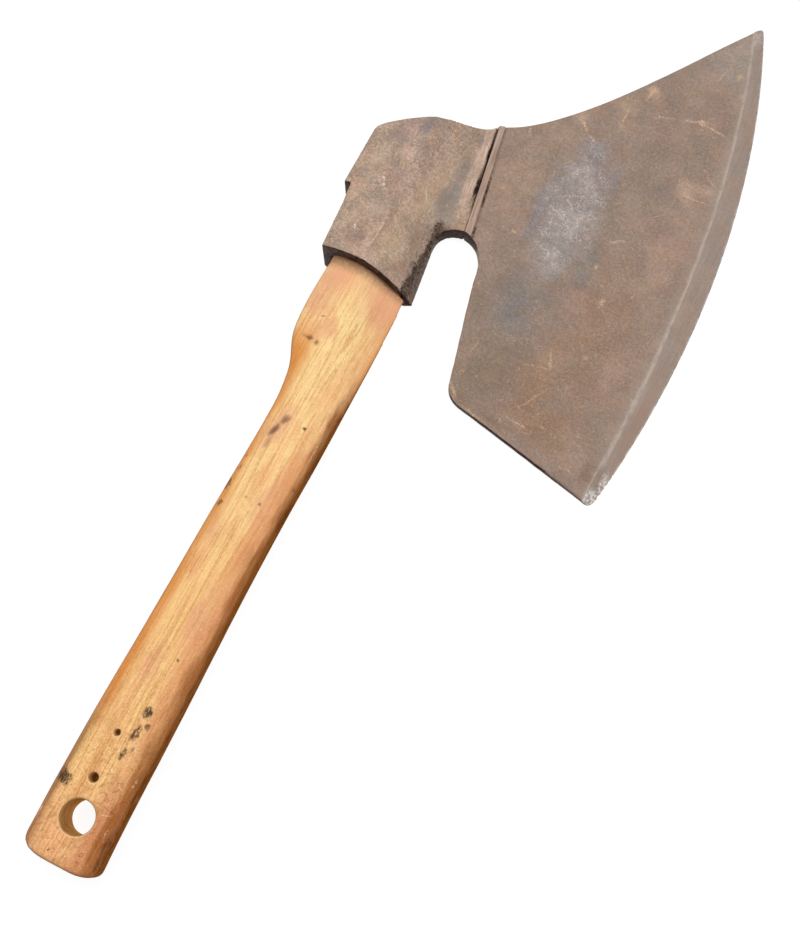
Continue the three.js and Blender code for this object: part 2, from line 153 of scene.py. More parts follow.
class Graph:
    """A short way to write a material: each call adds nodes and returns a socket or changes colour."""

    def __init__(self, name):
        self.material = bpy.data.materials.new(name)
        self.material.use_nodes = True
        self.nodes = self.material.node_tree.nodes
        self.links = self.material.node_tree.links
        self.shader = self.nodes["Principled BSDF"]
        place = self.add("ShaderNodeTexCoord").outputs["Object"]
        self.mm = self.vector("MULTIPLY_ADD", place, (1 / MM,) * 3, tuple(-ORIGIN / MM))
        self.x, self.y, self.z = self.split(self.mm)
        self.colour = None

    def add(self, kind, **settings):
        node = self.nodes.new(kind)
        for key, value in settings.items():
            setattr(node, key, value)
        return node

    def feed(self, socket, value):
        if isinstance(value, bpy.types.NodeSocket):
            self.links.new(value, socket)
        else:
            socket.default_value = value

    def set(self, socket, value):
        self.feed(self.shader.inputs[socket], value)

    def math(self, operation, *values):
        node = self.add("ShaderNodeMath", operation=operation)
        for socket, value in zip(node.inputs, values):
            self.feed(socket, value)
        return node.outputs[0]

    def vector(self, operation, *values):
        node = self.add("ShaderNodeVectorMath", operation=operation)
        for socket, value in zip(node.inputs, values):
            self.feed(socket, value)
        return node.outputs["Value" if operation in ("LENGTH", "DOT_PRODUCT") else "Vector"]

    def split(self, vector):
        return self.add_fed("ShaderNodeSeparateXYZ", Vector=vector).outputs

    def add_fed(self, kind, **values):
        node = self.nodes.new(kind)
        for key, value in values.items():
            self.feed(node.inputs[key], value)
        return node

    def noise(self, period, detail, roughness, vector=None, distortion=0.0):
        """Noise with a period in millimetres, or in the units of another vector."""
        node = self.add_fed(
            "ShaderNodeTexNoise",
            Vector=self.mm if vector is None else vector,
            Scale=1 / period,
            Detail=detail,
            Roughness=roughness,
            Distortion=distortion,
        )
        return node.outputs["Fac"]

    def cells(self, size, vector):
        """The distance from the nearest of many scattered points."""
        return self.add_fed("ShaderNodeTexVoronoi", Vector=vector, Scale=1 / size).outputs["Distance"]

    def stretched(self, x, y, z, vector=None):
        """The place divided by a period along each axis."""
        base = self.mm if vector is None else vector
        return self.vector("MULTIPLY", base, (1 / x, 1 / y, 1 / z))

    def warped(self, amount, period, detail=2.0):
        """The place pushed about by noise, so that marks get uneven outlines."""
        node = self.add_fed("ShaderNodeTexNoise", Vector=self.mm, Scale=1 / period, Detail=detail)
        centred = self.vector("SUBTRACT", node.outputs["Color"], (0.5, 0.5, 0.5))
        return self.vector("MULTIPLY_ADD", centred, (2 * amount,) * 3, self.mm)

    def between(self, value, low, high, to_low=0.0, to_high=1.0):
        """A smooth step from to_low at low to to_high at high."""
        node = self.add("ShaderNodeMapRange", interpolation_type="SMOOTHSTEP")
        for socket, number in zip(node.inputs, (value, low, high, to_low, to_high)):
            self.feed(socket, number)
        return node.outputs["Result"]

    def mix(self, factor, a, b, blend="MIX"):
        node = self.add("ShaderNodeMix", data_type="RGBA", blend_type=blend)
        self.feed(node.inputs["Factor"], factor)
        self.feed(node.inputs["A"], a if isinstance(a, bpy.types.NodeSocket) else (*a, 1))
        self.feed(node.inputs["B"], b if isinstance(b, bpy.types.NodeSocket) else (*b, 1))
        return node.outputs["Result"]

    def spot(self, x, y, half_x, half_y, turn=0.0, strength=1.0, vector=None, core=0.15):
        """A soft elliptical mark seen from above, turned by degrees."""
        base = self.mm if vector is None else vector
        cos, sin = math.cos(math.radians(turn)), math.sin(math.radians(turn))
        squares = []
        for axis in ((cos / half_x, sin / half_x, 0), (-sin / half_y, cos / half_y, 0)):
            run = self.vector("DOT_PRODUCT", base, axis)
            run = self.math("SUBTRACT", run, x * axis[0] + y * axis[1])
            squares.append(self.math("MULTIPLY", run, run))
        distance = self.math("SQRT", self.math("ADD", *squares))
        return self.between(distance, core, 1.0, strength, 0.0)

    def spots(self, marks, vector=None, core=0.15):
        """The strongest of several marks, each (x, y, half_x, half_y) and then turn and strength."""
        return self.highest(*(self.spot(*mark, vector=vector, core=core) for mark in marks))

    def tint(self, factors):
        """Makes the colour darker or lighter by one factor for each channel."""
        self.colour = self.mix(1.0, self.colour, factors, "MULTIPLY")

    def shade(self, red, green=None, blue=None):
        """Makes the colour darker or lighter by a field, or by one field for each channel."""
        node = self.add_fed("ShaderNodeCombineColor", Red=red, Green=green or red, Blue=blue or red)
        self.tint(node.outputs["Color"])

    def coat(self, tone, *amounts):
        """Covers the colour with a tone, as much as the product of the amounts."""
        tone = paint(*tone) if isinstance(tone, tuple) else tone
        self.colour = self.mix(self.product(*amounts), self.colour, tone)

    def blend(self, a, b, value, low, high):
        """One tone where a value is low and another where it is high."""
        return self.mix(self.between(value, low, high), paint(*a), paint(*b))

    def clouds(self, period, detail, roughness, low, high, to_low=0.0, to_high=1.0):
        """Patches of noise with soft borders."""
        return self.between(self.noise(period, detail, roughness), low, high, to_low, to_high)

    def streaks(self, periods, detail, roughness, vector=None):
        """Noise with a period of its own along each axis."""
        return self.noise(1.0, detail, roughness, self.stretched(*periods, vector))

    def product(self, *factors):
        """The product of sockets, numbers and smooth steps, each step a tuple for between."""
        total = None
        for factor in factors:
            factor = self.between(*factor) if isinstance(factor, tuple) else factor
            total = factor if total is None else self.math("MULTIPLY", total, factor)
        return total

    def highest(self, first, *others):
        for other in others:
            first = self.math("MAXIMUM", first, other)
        return first

    def facing(self, x, y, z):
        """How much the surface looks along a fixed direction of the axe."""
        normal = self.add("ShaderNodeTexCoord").outputs["Normal"]
        return self.vector("DOT_PRODUCT", normal, (x, y, z))

    def past_curve(self, curve):
        """Millimetres in +X beyond a plan curve."""
        low = curve[:, 1].min()
        span = curve[:, 1].max() - low
        powers = np.polyfit((curve[:, 1] - low) / span, curve[:, 0], 4)
        share = self.math("MULTIPLY_ADD", self.y, 1 / span, -low / span)
        place = float(powers[0])
        for power in powers[1:]:
            place = self.math("MULTIPLY_ADD", place, share, float(power))
        return self.math("SUBTRACT", self.x, place)

    def drift_hue(self):
        """Slow changes between a warmer and a cooler cast, and between a redder and a greener one."""
        for clouds, cool, warm in (
            (self.clouds(9, 4, 0.6, 0.34, 0.66), (0.97, 1.003, 1.04), (1.03, 0.992, 0.96)),
            (self.clouds(21, 4, 0.6, 0.36, 0.64), (0.985, 1.01, 1.0), (1.015, 0.99, 1.0)),
        ):
            self.tint(self.mix(clouds, cool, warm))

    def speckle(self, fine, grit, depth):
        """Dark and pale speckle from two fine noises, over soft clouds."""
        self.shade(self.product(
            self.clouds(14, 4, 0.6, 0.36, 0.64, 1 - 0.06 * depth, 1 + 0.06 * depth),
            (fine, 0.34, 0.66, 1 - 0.10 * depth, 1 + 0.10 * depth),
            (grit, 0.34, 0.66, 1 - 0.12 * depth, 1 + 0.12 * depth),
        ))

    def hairs(self, period, width, *patches):
        """Thin wandering lines that show in some patches only."""
        off = self.math("ABSOLUTE", self.math("SUBTRACT", self.noise(period, 2, 0.5), 0.5))
        return self.product((off, width, width * 0.3), self.clouds(*patches))

    def nicks(self, push, period, size, *patches):
        """Small bright specks that show in some patches only."""
        specks = self.cells(5, self.warped(push, period))
        return self.product((specks, size, 0.05), self.clouds(*patches))

    def scratches(self, lines, amount, period):
        """Worn lines (x1, y1, x2, y2, half width, strength), with wavering and broken edges."""
        vector = self.warped(amount, period, 3)
        marks = []
        for x1, y1, x2, y2, half, strength in lines:
            turn = math.degrees(math.atan2(y2 - y1, x2 - x1))
            reach = math.dist((x1, y1), (x2, y2)) / 2 + half
            marks.append(((x1 + x2) / 2, (y1 + y2) / 2, reach, half, turn, strength))
        return self.product(self.spots(marks, vector, 0.3), self.clouds(1.3, 5, 0.85, 0.44, 0.56))

    def bump(self, *layers):
        """Bump from (height, strength, distance in millimetres) layers."""
        normal = None
        for height, strength, distance in layers:
            node = self.add_fed("ShaderNodeBump", Strength=strength, Distance=distance * MM, Height=height)
            if normal is not None:
                self.links.new(normal, node.inputs["Normal"])
            normal = node.outputs["Normal"]
        self.set("Normal", normal)


# ------------------------------------------------------------------ curves and meshes

def bezier(*controls, count=200):
    """Points on a Bezier curve of any degree."""
    t = np.linspace(0, 1, count)[:, None]
    degree = len(controls) - 1
    points = np.zeros((count, 2))
    for i, control in enumerate(controls):
        weight = math.comb(degree, i) * t**i * (1 - t) ** (degree - i)
        points += weight * np.array(control, float)
    return points


def along(points, shares):
    """Points at the given shares of a polyline's length."""
    steps = np.linalg.norm(np.diff(points, axis=0), axis=1)
    run = np.concatenate([[0], np.cumsum(steps)]) / steps.sum()
    return np.column_stack([np.interp(shares, run, points[:, axis]) for axis in range(2)])


def distance_to(curve, plan):
    """Distance from each plan point to a polyline, by its segments."""
    flat = plan.reshape(-1, 2)
    best = np.full(len(flat), 1e9)
    for start, end in zip(curve[:-1], curve[1:]):
        span = end - start
        share = np.clip((flat - start) @ span / (span @ span), 0, 1)
        best = np.minimum(best, np.linalg.norm(flat - start - share[:, None] * span, axis=1))
    return best.reshape(plan.shape[:-1])


def smooth_step(value, low, high):
    """From 0 at low to 1 at high, whichever of them is the larger."""
    share = np.clip((value - low) / (high - low), 0, 1)
    return share * share * (3 - 2 * share)


def wander(plan, period, seed, octaves=3):
    """Smooth noise between about -1 and 1 over an array of points of two or three coordinates."""
    flat = plan.reshape(-1, plan.shape[-1]) / period
    if flat.shape[1] == 2:
        flat = np.column_stack([flat, np.zeros(len(flat))])
    shift = Vector((seed * 17.3, seed * 5.1, seed * 9.7))
    values = [noise.fractal(Vector(p) + shift, 1.0, 2.0, octaves) for p in flat]
    return np.array(values).reshape(plan.shape[:-1])


def rim_drop(distance, radius):
    """How far a surface falls below its level near a rounded rim."""
    inside = np.clip(radius - distance, 0, radius)
    return radius - np.sqrt(radius**2 - inside**2)


def new_object(name, verts, faces):
    mesh = bpy.data.meshes.new(name)
    mesh.from_pydata(to_frame(verts).tolist(), [], faces)
    mesh.validate()
    mesh.shade_smooth()
    mesh.set_sharp_from_angle(angle=math.radians(50))
    return linked(name, mesh)


def ring_solid(name, rings):
    """A closed solid through rings of points from bottom to top, with a fan over each end."""
    rows, sides = rings.shape[:2]
    verts = np.vstack([rings.reshape(-1, 3), rings[0].mean(0), rings[-1].mean(0)])
    top = (rows - 1) * sides
    faces = []
    for side in range(sides):
        other = (side + 1) % sides
        for a in range(0, top, sides):
            faces.append([a + side, a + other, a + sides + other, a + sides + side])
        faces.append([rows * sides, other, side])
        faces.append([rows * sides + 1, top + side, top + other])
    return new_object(name, verts, faces)


def dress(piece, material):
    piece.data.materials.clear()
    piece.data.materials.append(material)


def finish_piece(piece, material, slot, *nodes):
    dress(piece, material)
    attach(piece, "root")
    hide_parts(*nodes)


def slab(name, plan, top, bottom, foot=None):
    """A closed plate: plan is a grid of points, top and bottom the heights over it, foot the plan below."""
    rows, columns = top.shape
    upper = np.dstack([plan, top]).reshape(-1, 3)
    lower = np.dstack([plan if foot is None else foot, bottom]).reshape(-1, 3)
    index = np.arange(rows * columns).reshape(rows, columns)
    quads = np.stack([index[:-1, :-1], index[:-1, 1:], index[1:, 1:], index[1:, :-1]], -1).reshape(-1, 4)
    ring = np.array([*index[0, :], *index[1:, -1], *index[-1, -2::-1], *index[-2:0:-1, 0]])
    turned = np.roll(ring, -1)
    walls = np.column_stack([turned, ring, ring + rows * columns, turned + rows * columns])
    faces = np.vstack([quads, quads[:, ::-1] + rows * columns, walls])
    return new_object(name, np.vstack([upper, lower]), faces.tolist())


# ------------------------------------------------------------------ blade

EDGE_CURVE = bezier((170.6, 271), (193.6, 391.8), (185.1, 520.2), (142.8, 634.4))
BEVEL_CURVE = bezier((163.9, 264), (173.9, 390.7), (171.7, 508.9), (137.2, 631.6))
TOP_CURVE = bezier(SEAM_TOP, (56.4, 492.2), (114.4, 590), BEVEL_TOP)
ROOT_CURVE = np.vstack([
    bezier((76.5, 295.2), (67.2, 297.4), (64.9, 306), count=30),
    bezier((64.9, 306), (60.8, 325.5), (55.1, 346.8), (50.7, 369), count=60),
    bezier((50.7, 369), (48.7, 374.1), (50.5, 395.4), SEAM_BOTTOM, count=60),
    bezier(SEAM_BOTTOM, SEAM_TOP, count=60),
])


def blade_thickness(plan):
    distance = distance_to(np.array([SEAM_TOP, SEAM_BOTTOM]), plan)
    return TIP_THICKNESS + (ROOT_THICKNESS - TIP_THICKNESS) * np.exp(-distance / THINNING_LENGTH)


def seam_offset(points):
    """Distance from the seam line towards the blade."""
    start = np.array(SEAM_TOP)
    span = np.array(SEAM_BOTTOM) - start
    offset = points[..., :2] - start
    return (offset[..., 1] * span[0] - offset[..., 0] * span[1]) / np.linalg.norm(span)


def rib_relief(plan):
    """The raised bead along the seam, with a shallow groove on its blade side."""
    start = np.array(SEAM_TOP)
    span = np.array(SEAM_BOTTOM) - start
    share = np.clip((plan - start) @ span / (span @ span), 0, 1)
    across = seam_offset(plan)
    width = RIB_WIDTHS[0] + (RIB_WIDTHS[1] - RIB_WIDTHS[0]) * share
    width = width + 0.35 * wander(plan, 11, 4)
    inside = 1 - smooth_step(across, width - 0.5, width + 0.4)
    groove = np.exp(-(((across - width - 0.7) / 0.55) ** 2))
    near_seam = smooth_step(plan[..., 1], 388, 394)
    return near_seam * (RIB_HEIGHT * inside - 0.35 * groove)


def trimmed(curve, low_y, high_y):
    return curve[(curve[:, 1] >= low_y) & (curve[:, 1] <= high_y)]


def bevel_line(shares):
    """Points along the line where the blade and the steel bit meet."""
    line = along(trimmed(BEVEL_CURVE, BEVEL_BOTTOM[1], BEVEL_TOP[1]), shares)
    line[0] = BEVEL_BOTTOM
    line[-1] = BEVEL_TOP
    return line


def make_blade(material):
    rim_shares = np.array([0, 0.0007, 0.0016, 0.0028, 0.0045])
    shares = np.concatenate([rim_shares, np.linspace(0.0075, 0.9925, 268), 1 - rim_shares[::-1]])
    root = along(ROOT_CURVE, shares)
    bevel = bevel_line(shares)

    near = np.array([0, 0.2, 0.45, 0.8, 1.3, 1.9, 2.6, 3.3, 4.0, 4.6, 5.1, 5.6, 6.1, 6.6, 7.1, 7.7, 8.5])
    far = np.linspace(0, 1, 112)[1:]
    widths = np.linalg.norm(bevel - root, axis=1)[:, None]
    u = np.hstack([near / widths, near[-1] / widths + (1 - near[-1] / widths) * far])
    plan = root[:, None] + (bevel - root)[:, None] * u[..., None]
    straight = TOP_CURVE[0] + (TOP_CURVE[-1] - TOP_CURVE[0]) * u[-1][:, None]
    bow = along(TOP_CURVE, u[-1]) - straight
    plan += shares[:, None, None] ** 1.5 * bow[None]

    sides = (plan[:, :1], plan[:1], plan[-1:], plan[:, -1:])
    to_root, to_heel, to_top, to_bevel = (np.linalg.norm(plan - side, axis=-1) for side in sides)
    to_rim = np.minimum(np.minimum(to_root, to_heel), to_top)
    uneven = 0.22 * wander(plan, 34, 1) + 0.05 * wander(plan, 7, 2)
    uneven = uneven * smooth_step(to_bevel, 0, 12)
    top = blade_thickness(plan) + rib_relief(plan) + uneven - rim_drop(to_rim, 0.9)
    top = dent(plan, top, 70, 5)
    bottom = 0.08 * np.abs(wander(plan, 30, 3)) * smooth_step(to_bevel, 0, 12) + rim_drop(to_rim, 0.6)

    ragged = 0.18 * wander(plan, 9, 6) * np.clip(1 - to_rim / 3, 0, 1) * smooth_step(to_bevel, 0, 6)
    plan[..., 0] += ragged
    plan[..., 1] += 0.6 * ragged
    # Beside the seam the wall slopes out under the socket, so the groove has a floor.
    beside_seam = smooth_step(plan[..., 1], 399, 402) * np.clip(1 - to_root / 4, 0, 1)
    reach = (1.6 + 4.4 * smooth_step(plan[..., 1], 462, 470)) * beside_seam
    foot = plan - reach[..., None] * np.array([0.61, 0.79])
    blade = slab("blade_iron", plan, top, bottom, foot)
    finish_piece(blade, material, "iron", "blade_body")


def dent(plan, top, count, seed):
    """Small shallow pits and knocks scattered over a surface."""
    dice = random.Random(seed)
    low = plan.reshape(-1, 2).min(0)
    high = plan.reshape(-1, 2).max(0)
    for _ in range(count):
        centre = np.array([dice.uniform(low[0], high[0]), dice.uniform(low[1], high[1])])
        radius = dice.uniform(1.2, 2.8)
        depth = dice.uniform(0.04, 0.16)
        inside = np.clip(1 - (np.linalg.norm(plan - centre, axis=-1) / radius) ** 2, 0, 1)
        top = top - depth * inside**2
    return top


# ------------------------------------------------------------------ steel bit

HEEL_CHIPS = ((281.5, 1.6, 0.9), (285.4, 1.1, 0.5), (288.6, 1.3, 0.75), (292.3, 0.9, 0.4), (296.8, 1.0, 0.45))


def edge_chips(y):
    """How far the cutting edge is worn back at each place along it."""
    worn = 0.06 * np.abs(wander(np.column_stack([y, 0 * y]), 12, 11))
    for place, half, depth in HEEL_CHIPS:
        worn += depth * np.clip(1 - np.abs(y - place) / half, 0, 1)
    dice = random.Random(21)
    for _ in range(14):
        place = dice.uniform(300, 618)
        half = dice.uniform(0.8, 2.2)
        depth = dice.uniform(0.05, 0.22)
        worn += depth * np.clip(1 - np.abs(y - place) / half, 0, 1)
    return worn


def make_bit(material):
    rim_shares = np.array([0, 0.0004, 0.001, 0.0018])
    shares = np.concatenate([rim_shares, np.linspace(0.003, 0.997, 600), 1 - rim_shares[::-1]])
    inner = bevel_line(shares)
    rim = np.vstack([
        bezier((166.2, 273.8), (170.6, 272.8), (171.8, 279.4), count=20),
        trimmed(EDGE_CURVE, 280, 626),
        bezier((145.4, 626.9), (143.9, 630.6), (141.6, 626.9), count=20),
    ])
    outer = along(rim, shares)
    u = np.linspace(0, 1, 15)
    widths = np.linalg.norm(outer - inner, axis=1)[:, None]
    worn = edge_chips(outer[:, 1])[:, None] / widths
    reach = u - np.clip(worn, 0, 0.5) * u**4
    plan = inner[:, None] + (outer - inner)[:, None] * reach[..., None]

    to_edge = distance_to(EDGE_CURVE, plan)
    to_bevel = distance_to(BEVEL_CURVE, plan)
    share = to_edge / (to_edge + to_bevel)
    ground = EDGE_THICKNESS + (blade_thickness(plan) - EDGE_THICKNESS) * share
    top = ground + 0.03 * wander(plan, 12, 13) * np.clip(to_bevel / 3, 0, 1) * np.clip(to_edge / 2, 0, 1)
    top = np.maximum(top, EDGE_THICKNESS * 0.8)
    bit = slab("bit_steel", plan, top, np.zeros_like(top))
    finish_piece(bit, material, "steel", "steel_bit")


# ------------------------------------------------------------------ remeshing

def remeshed(source, voxel):
    """Replaces an object's mesh by an even grid of faces over the same solid."""
    modifier = source.modifiers.new("remesh", "REMESH")
    modifier.mode = "VOXEL"
    modifier.voxel_size = voxel * MM
    bake_modifiers(source)


def bake_modifiers(source):
    depsgraph = bpy.context.evaluated_depsgraph_get()
    baked = bpy.data.meshes.new_from_object(source.evaluated_get(depsgraph))
    source.modifiers.clear()
    old = source.data
    source.data = baked
    bpy.data.meshes.remove(old)
    baked.name = source.name
    baked.shade_smooth()


def read_mesh(mesh):
    """Vertices in drafting millimetres, normals and edges of a mesh."""
    co = np.zeros(len(mesh.vertices) * 3)
    mesh.vertices.foreach_get("co", co)
    normals = np.array([n.vector for n in mesh.vertex_normals])
    edges = np.zeros(len(mesh.edges) * 2, int)
    mesh.edges.foreach_get("vertices", edges)
    return (co.reshape(-1, 3) - ORIGIN) / MM, normals, edges.reshape(-1, 2)


def write_mesh(mesh, points):
    mesh.vertices.foreach_set("co", to_frame(points).ravel())
    mesh.update()


def relaxed(points, edges, weight, rounds):
    """Moves each point towards the middle of its neighbours, by its weight, so many times."""
    a, b = edges.T
    count = np.bincount(np.concatenate([a, b]), minlength=len(points))[:, None]
    for _ in range(rounds):
        total = np.column_stack([
            np.bincount(a, points[b, axis], len(points)) + np.bincount(b, points[a, axis], len(points))
            for axis in range(3)
        ])
        points = points + weight[:, None] * (total / count - points)
    return points


def softened(piece, rounds):
    """A remeshed piece's points with the steps of the grid ironed out, its old normals and its edges."""
    points, normals, edges = read_mesh(piece.data)
    points = relaxed(points, edges, np.full(len(points), 0.5), rounds)
    return points, normals, edges


def flatness(normals, edges, spread):
    """1 where the surface is nearly flat, 0 near a sharp edge."""
    a, b = edges.T
    turn = np.ones(len(normals))
    alike = np.einsum("ij,ij->i", normals[a], normals[b])
    np.minimum.at(turn, a, alike)
    np.minimum.at(turn, b, alike)
    for _ in range(spread):
        lowest = turn.copy()
        np.minimum.at(lowest, a, turn[b])
        np.minimum.at(lowest, b, turn[a])
        turn = lowest
    return smooth_step(turn, 0.93, 0.985)


# ------------------------------------------------------------------ socket and poll

def make_socket(material):
    shell = bmesh.new()
    for name, shift in (("eye_socket", 0.0), ("poll_plate", 0.5)):
        start = len(shell.verts)
        shell.from_mesh(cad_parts[name].data)
        shell.verts.ensure_lookup_table()
        bmesh.ops.translate(shell, vec=(shift * MM, 0, 0), verts=shell.verts[start:])
    bmesh.ops.remove_doubles(shell, verts=shell.verts, dist=1e-6)
    mesh = bpy.data.meshes.new("socket_forging")
    shell.to_mesh(mesh)
    shell.free()
    socket = linked("socket_forging", mesh)
    remeshed(socket, SOCKET_VOXEL)

    write_mesh(socket.data, softened(socket, 1)[0])
    points, normals, edges = read_mesh(socket.data)
    points = relaxed(points, edges, 0.6 * flatness(normals, edges, 1), 45)
    write_mesh(socket.data, points)

    points, normals, edges = read_mesh(socket.data)
    facing_up = np.clip(normals[:, 2], 0, 1)
    hammered = (0.20 * wander(points, 17, 31) + 0.07 * wander(points, 5, 32)) * flatness(normals, edges, 3)
    scaly = smooth_step(points[:, 0], 10, 14) * (1 - smooth_step(points[:, 0], 20, 24))
    scaly = scaly * (1 - smooth_step(points[:, 1], 393, 401)) * smooth_step(points[:, 2], 1, 5)
    pitted = -0.55 * scaly * np.clip(wander(points, 2.6, 33, 2) + 0.15, 0, 1)
    away_from_back = smooth_step(points[:, 2], 0.2, 2.0)
    across = seam_offset(points)
    up_groove = points[:, 1] + 4 * wander(points, 9, 35, 2)
    reach = 1.1 + 1.2 * smooth_step(up_groove, 446, 432) + 0.6 * smooth_step(up_groove, 452, 460)
    groove = smooth_step(across / reach, -1.0, -0.25) * facing_up
    groove = groove * smooth_step(up_groove, 414, 424) * (1 - smooth_step(points[:, 1], 462, 470))
    groove = groove * (0.65 + 0.25 * wander(points, 6, 34, 2))
    offset = (hammered * (0.4 + 0.6 * facing_up) + pitted - groove) * away_from_back
    points = points + normals * offset[:, None]
    points[:, 2] = np.maximum(points[:, 2], 0)
    points[:, 0] = np.maximum(points[:, 0], POLL_FACE_X)
    write_mesh(socket.data, points)
    finish_piece(socket, material, "iron", "eye_socket", "poll_plate")


# ------------------------------------------------------------------ handle

# Plan edges of the handle: distance along it, x of the left edge, x of the right edge.
HANDLE_EDGES = np.array([
    (-27, -20.6, 23.1), (0, -21.3, 21.9), (60, -21.3, 20.9), (110, -20.3, 19.6), (180, -19.4, 18.9),
    (230, -18.5, 19.7), (252, -19.3, 19.8), (270, -22.5, 19.6), (290, -30.6, 19.4), (304, -32.6, 19.1),
    (320, -33.1, 18.8), (345, -32.1, 17.2),
])
# The tenon's section, seen along the handle, clockwise from the blade side.
TENON_SECTION = (
    (14, 6), (12.5, 4.6), (6, 4.6), (-8, 4.6), (-22, 4.8), (-31, 6), (-32.4, 11),
    (-31, 18.2), (-24, 21.4), (-11, 22.4), (-4.5, 19.8), (2, 15.5), (9, 10),
)
TENON_TRIM = ((-60, 432.1), (-18, 451.5), (20, 474.5))    # the line its end is cut to
SHOULDER_Y = 342.3      # where the handle steps in to the tenon, just below the mouth
DROP_START_Y = 205      # between these the boxy grip turns into the drop shape of the eye
DROP_END_Y = 330
SIDES = 112


def smooth_through(places, values, at):
    """Cubic interpolation through points, with slopes from their neighbours."""
    slopes = np.gradient(values, places)
    i = np.clip(np.searchsorted(places, at) - 1, 0, len(places) - 2)
    span = places[i + 1] - places[i]
    t = (at - places[i]) / span
    return (
        values[i] * (2 * t**3 - 3 * t**2 + 1) + values[i + 1] * (3 * t**2 - 2 * t**3)
        + span * slopes[i] * (t**3 - 2 * t**2 + t) + span * slopes[i + 1] * (t**3 - t**2)
    )


def closed_curve(controls, count):
    """Evenly spaced points on a smooth closed curve through its controls."""
    ring = np.array(controls, float)
    points = []
    for i in range(len(ring)):
        p0, p1, p2, p3 = (ring[(i + k - 1) % len(ring)] for k in range(4))
        t = np.linspace(0, 1, 24, endpoint=False)[:, None]
        points.append(0.5 * (
            2 * p1 + (p2 - p0) * t + (2 * p0 - 5 * p1 + 4 * p2 - p3) * t**2
            + (3 * p1 - p0 - 3 * p2 + p3) * t**3
        ))
    loop = np.vstack([*points, points[0][:1]])
    return along(loop, np.arange(count) / count)


def rounded_end(distance, radius):
    inside = np.clip(distance / radius, 0, 1)
    return math.sqrt(1 - (1 - inside) ** 2)


def edges_at(y):
    return (smooth_through(HANDLE_EDGES[:, 0], HANDLE_EDGES[:, side], y) for side in (1, 2))


def drop_ring(y, tenon):
    """The tenon's section stretched to the handle's width."""
    left, right = edges_at(y)
    share = (tenon[:, 0] - tenon[:, 0].min()) / np.ptp(tenon[:, 0])
    return np.column_stack([left + share * (right - left), np.full(SIDES, y), tenon[:, 1]])


def grip_ring(y):
    left, right = edges_at(y)
    from_butt = y - BUTT_Y
    half_width = (right - left) / 2 - 12 * (1 - rounded_end(from_butt, 6.0))
    half_thickness = GRIP_THICKNESS / 2 - 4 * (1 - rounded_end(from_butt, 4.0))
    angle = -np.arange(SIDES) / SIDES * 2 * math.pi
    power = 2 / GRIP_POWER
    across = np.sign(np.cos(angle)) * np.abs(np.cos(angle)) ** power
    upward = np.sign(np.sin(angle)) * np.abs(np.sin(angle)) ** power
    return np.column_stack([
        (left + right) / 2 + half_width * across,
        np.full(SIDES, y),
        GRIP_CENTRE_Z + half_thickness * upward,
    ])


def handle_rings():
    tenon = closed_curve(TENON_SECTION, SIDES)
    rings = [grip_ring(BUTT_Y + offset) for offset in (0, 0.15, 0.5, 1.1, 1.9, 3.0, 4.3, 6.0)]
    for y in np.linspace(-17.5, SHOULDER_Y, 225):
        share = smooth_step(y, DROP_START_Y, DROP_END_Y)
        rings.append((1 - share) * grip_ring(y) + share * drop_ring(y, tenon))
    trim = np.interp(tenon[:, 0], *np.transpose(TENON_TRIM))
    for share in np.linspace(0.002, 1, 44):
        y = SHOULDER_Y + share * (trim - SHOULDER_Y)
        rings.append(np.column_stack([tenon[:, 0], y, tenon[:, 1]]))
    return np.array(rings)


def lathe_cutter(name, x, y, profile, sides=96):
    """A solid of revolution about a vertical line: profile is (radius, z) from the bottom up."""
    angles = np.arange(sides) / sides * 2 * math.pi
    circle = np.column_stack([np.cos(angles), np.sin(angles), 0 * angles])
    return ring_solid(name, np.array([radius * circle + (x, y, z) for radius, z in profile]))


def cut(target, cutter, keep=False):
    modifier = target.modifiers.new("cut", "BOOLEAN")
    modifier.operation = "DIFFERENCE"
    modifier.object = cutter
    bake_modifiers(target)
    if not keep:
        bpy.data.objects.remove(cutter)


def make_handle(material):
    handle = ring_solid("handle_wood", handle_rings())
    x, y, radius = HANG_HOLE
    low = GRIP_CENTRE_Z - GRIP_THICKNESS / 2
    high = GRIP_CENTRE_Z + GRIP_THICKNESS / 2
    flare = 1.1
    hole = [(radius + flare + 3, low - 3), (radius + flare, low), (radius, low + flare),
            (radius, high - flare), (radius + flare, high), (radius + flare + 3, high + 3)]
    cut(handle, lathe_cutter("hang_hole_cutter", x, y, hole))
    for i, (px, py, pilot, depth) in enumerate(PILOT_HOLES):
        hole = [(pilot * 0.55, high - depth), (pilot, high - depth + 1.5), (pilot, high - 0.7),
                (pilot + 0.7, high), (pilot + 2, high + 3)]
        cut(handle, lathe_cutter(f"pilot_cutter_{i}", px, py, hole, 40))
    for wedge in ("wood_wedge", "steel_wedge_1", "steel_wedge_2"):
        cut(handle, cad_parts[wedge], keep=True)
    remeshed(handle, HANDLE_VOXEL)

    points, normals, _ = softened(handle, 4)
    worn = 0.12 * wander(points * (1, 0.25, 1), 9, 41) + 0.03 * wander(points * (1, 0.12, 1), 2.2, 42)
    on_grip = 1 - smooth_step(points[:, 1], 325, 343)
    points = points + normals * (worn * on_grip)[:, None]
    corner = np.array([-20.5, -23.0, 12.0])
    bitten = np.clip(1 - np.linalg.norm((points - corner) * (1, 1, 0.45), axis=1) / 7, 0, 1)
    points = points - np.array([-0.6, -0.7, 0]) * (1.8 * bitten * (1 + 0.6 * wander(points, 3, 43)))[:, None]
    points[:, 1] = np.maximum(points[:, 1], BUTT_Y)
    write_mesh(handle.data, points)
    finish_piece(handle, material, "handle_wood", "handle")


# ------------------------------------------------------------------ materials

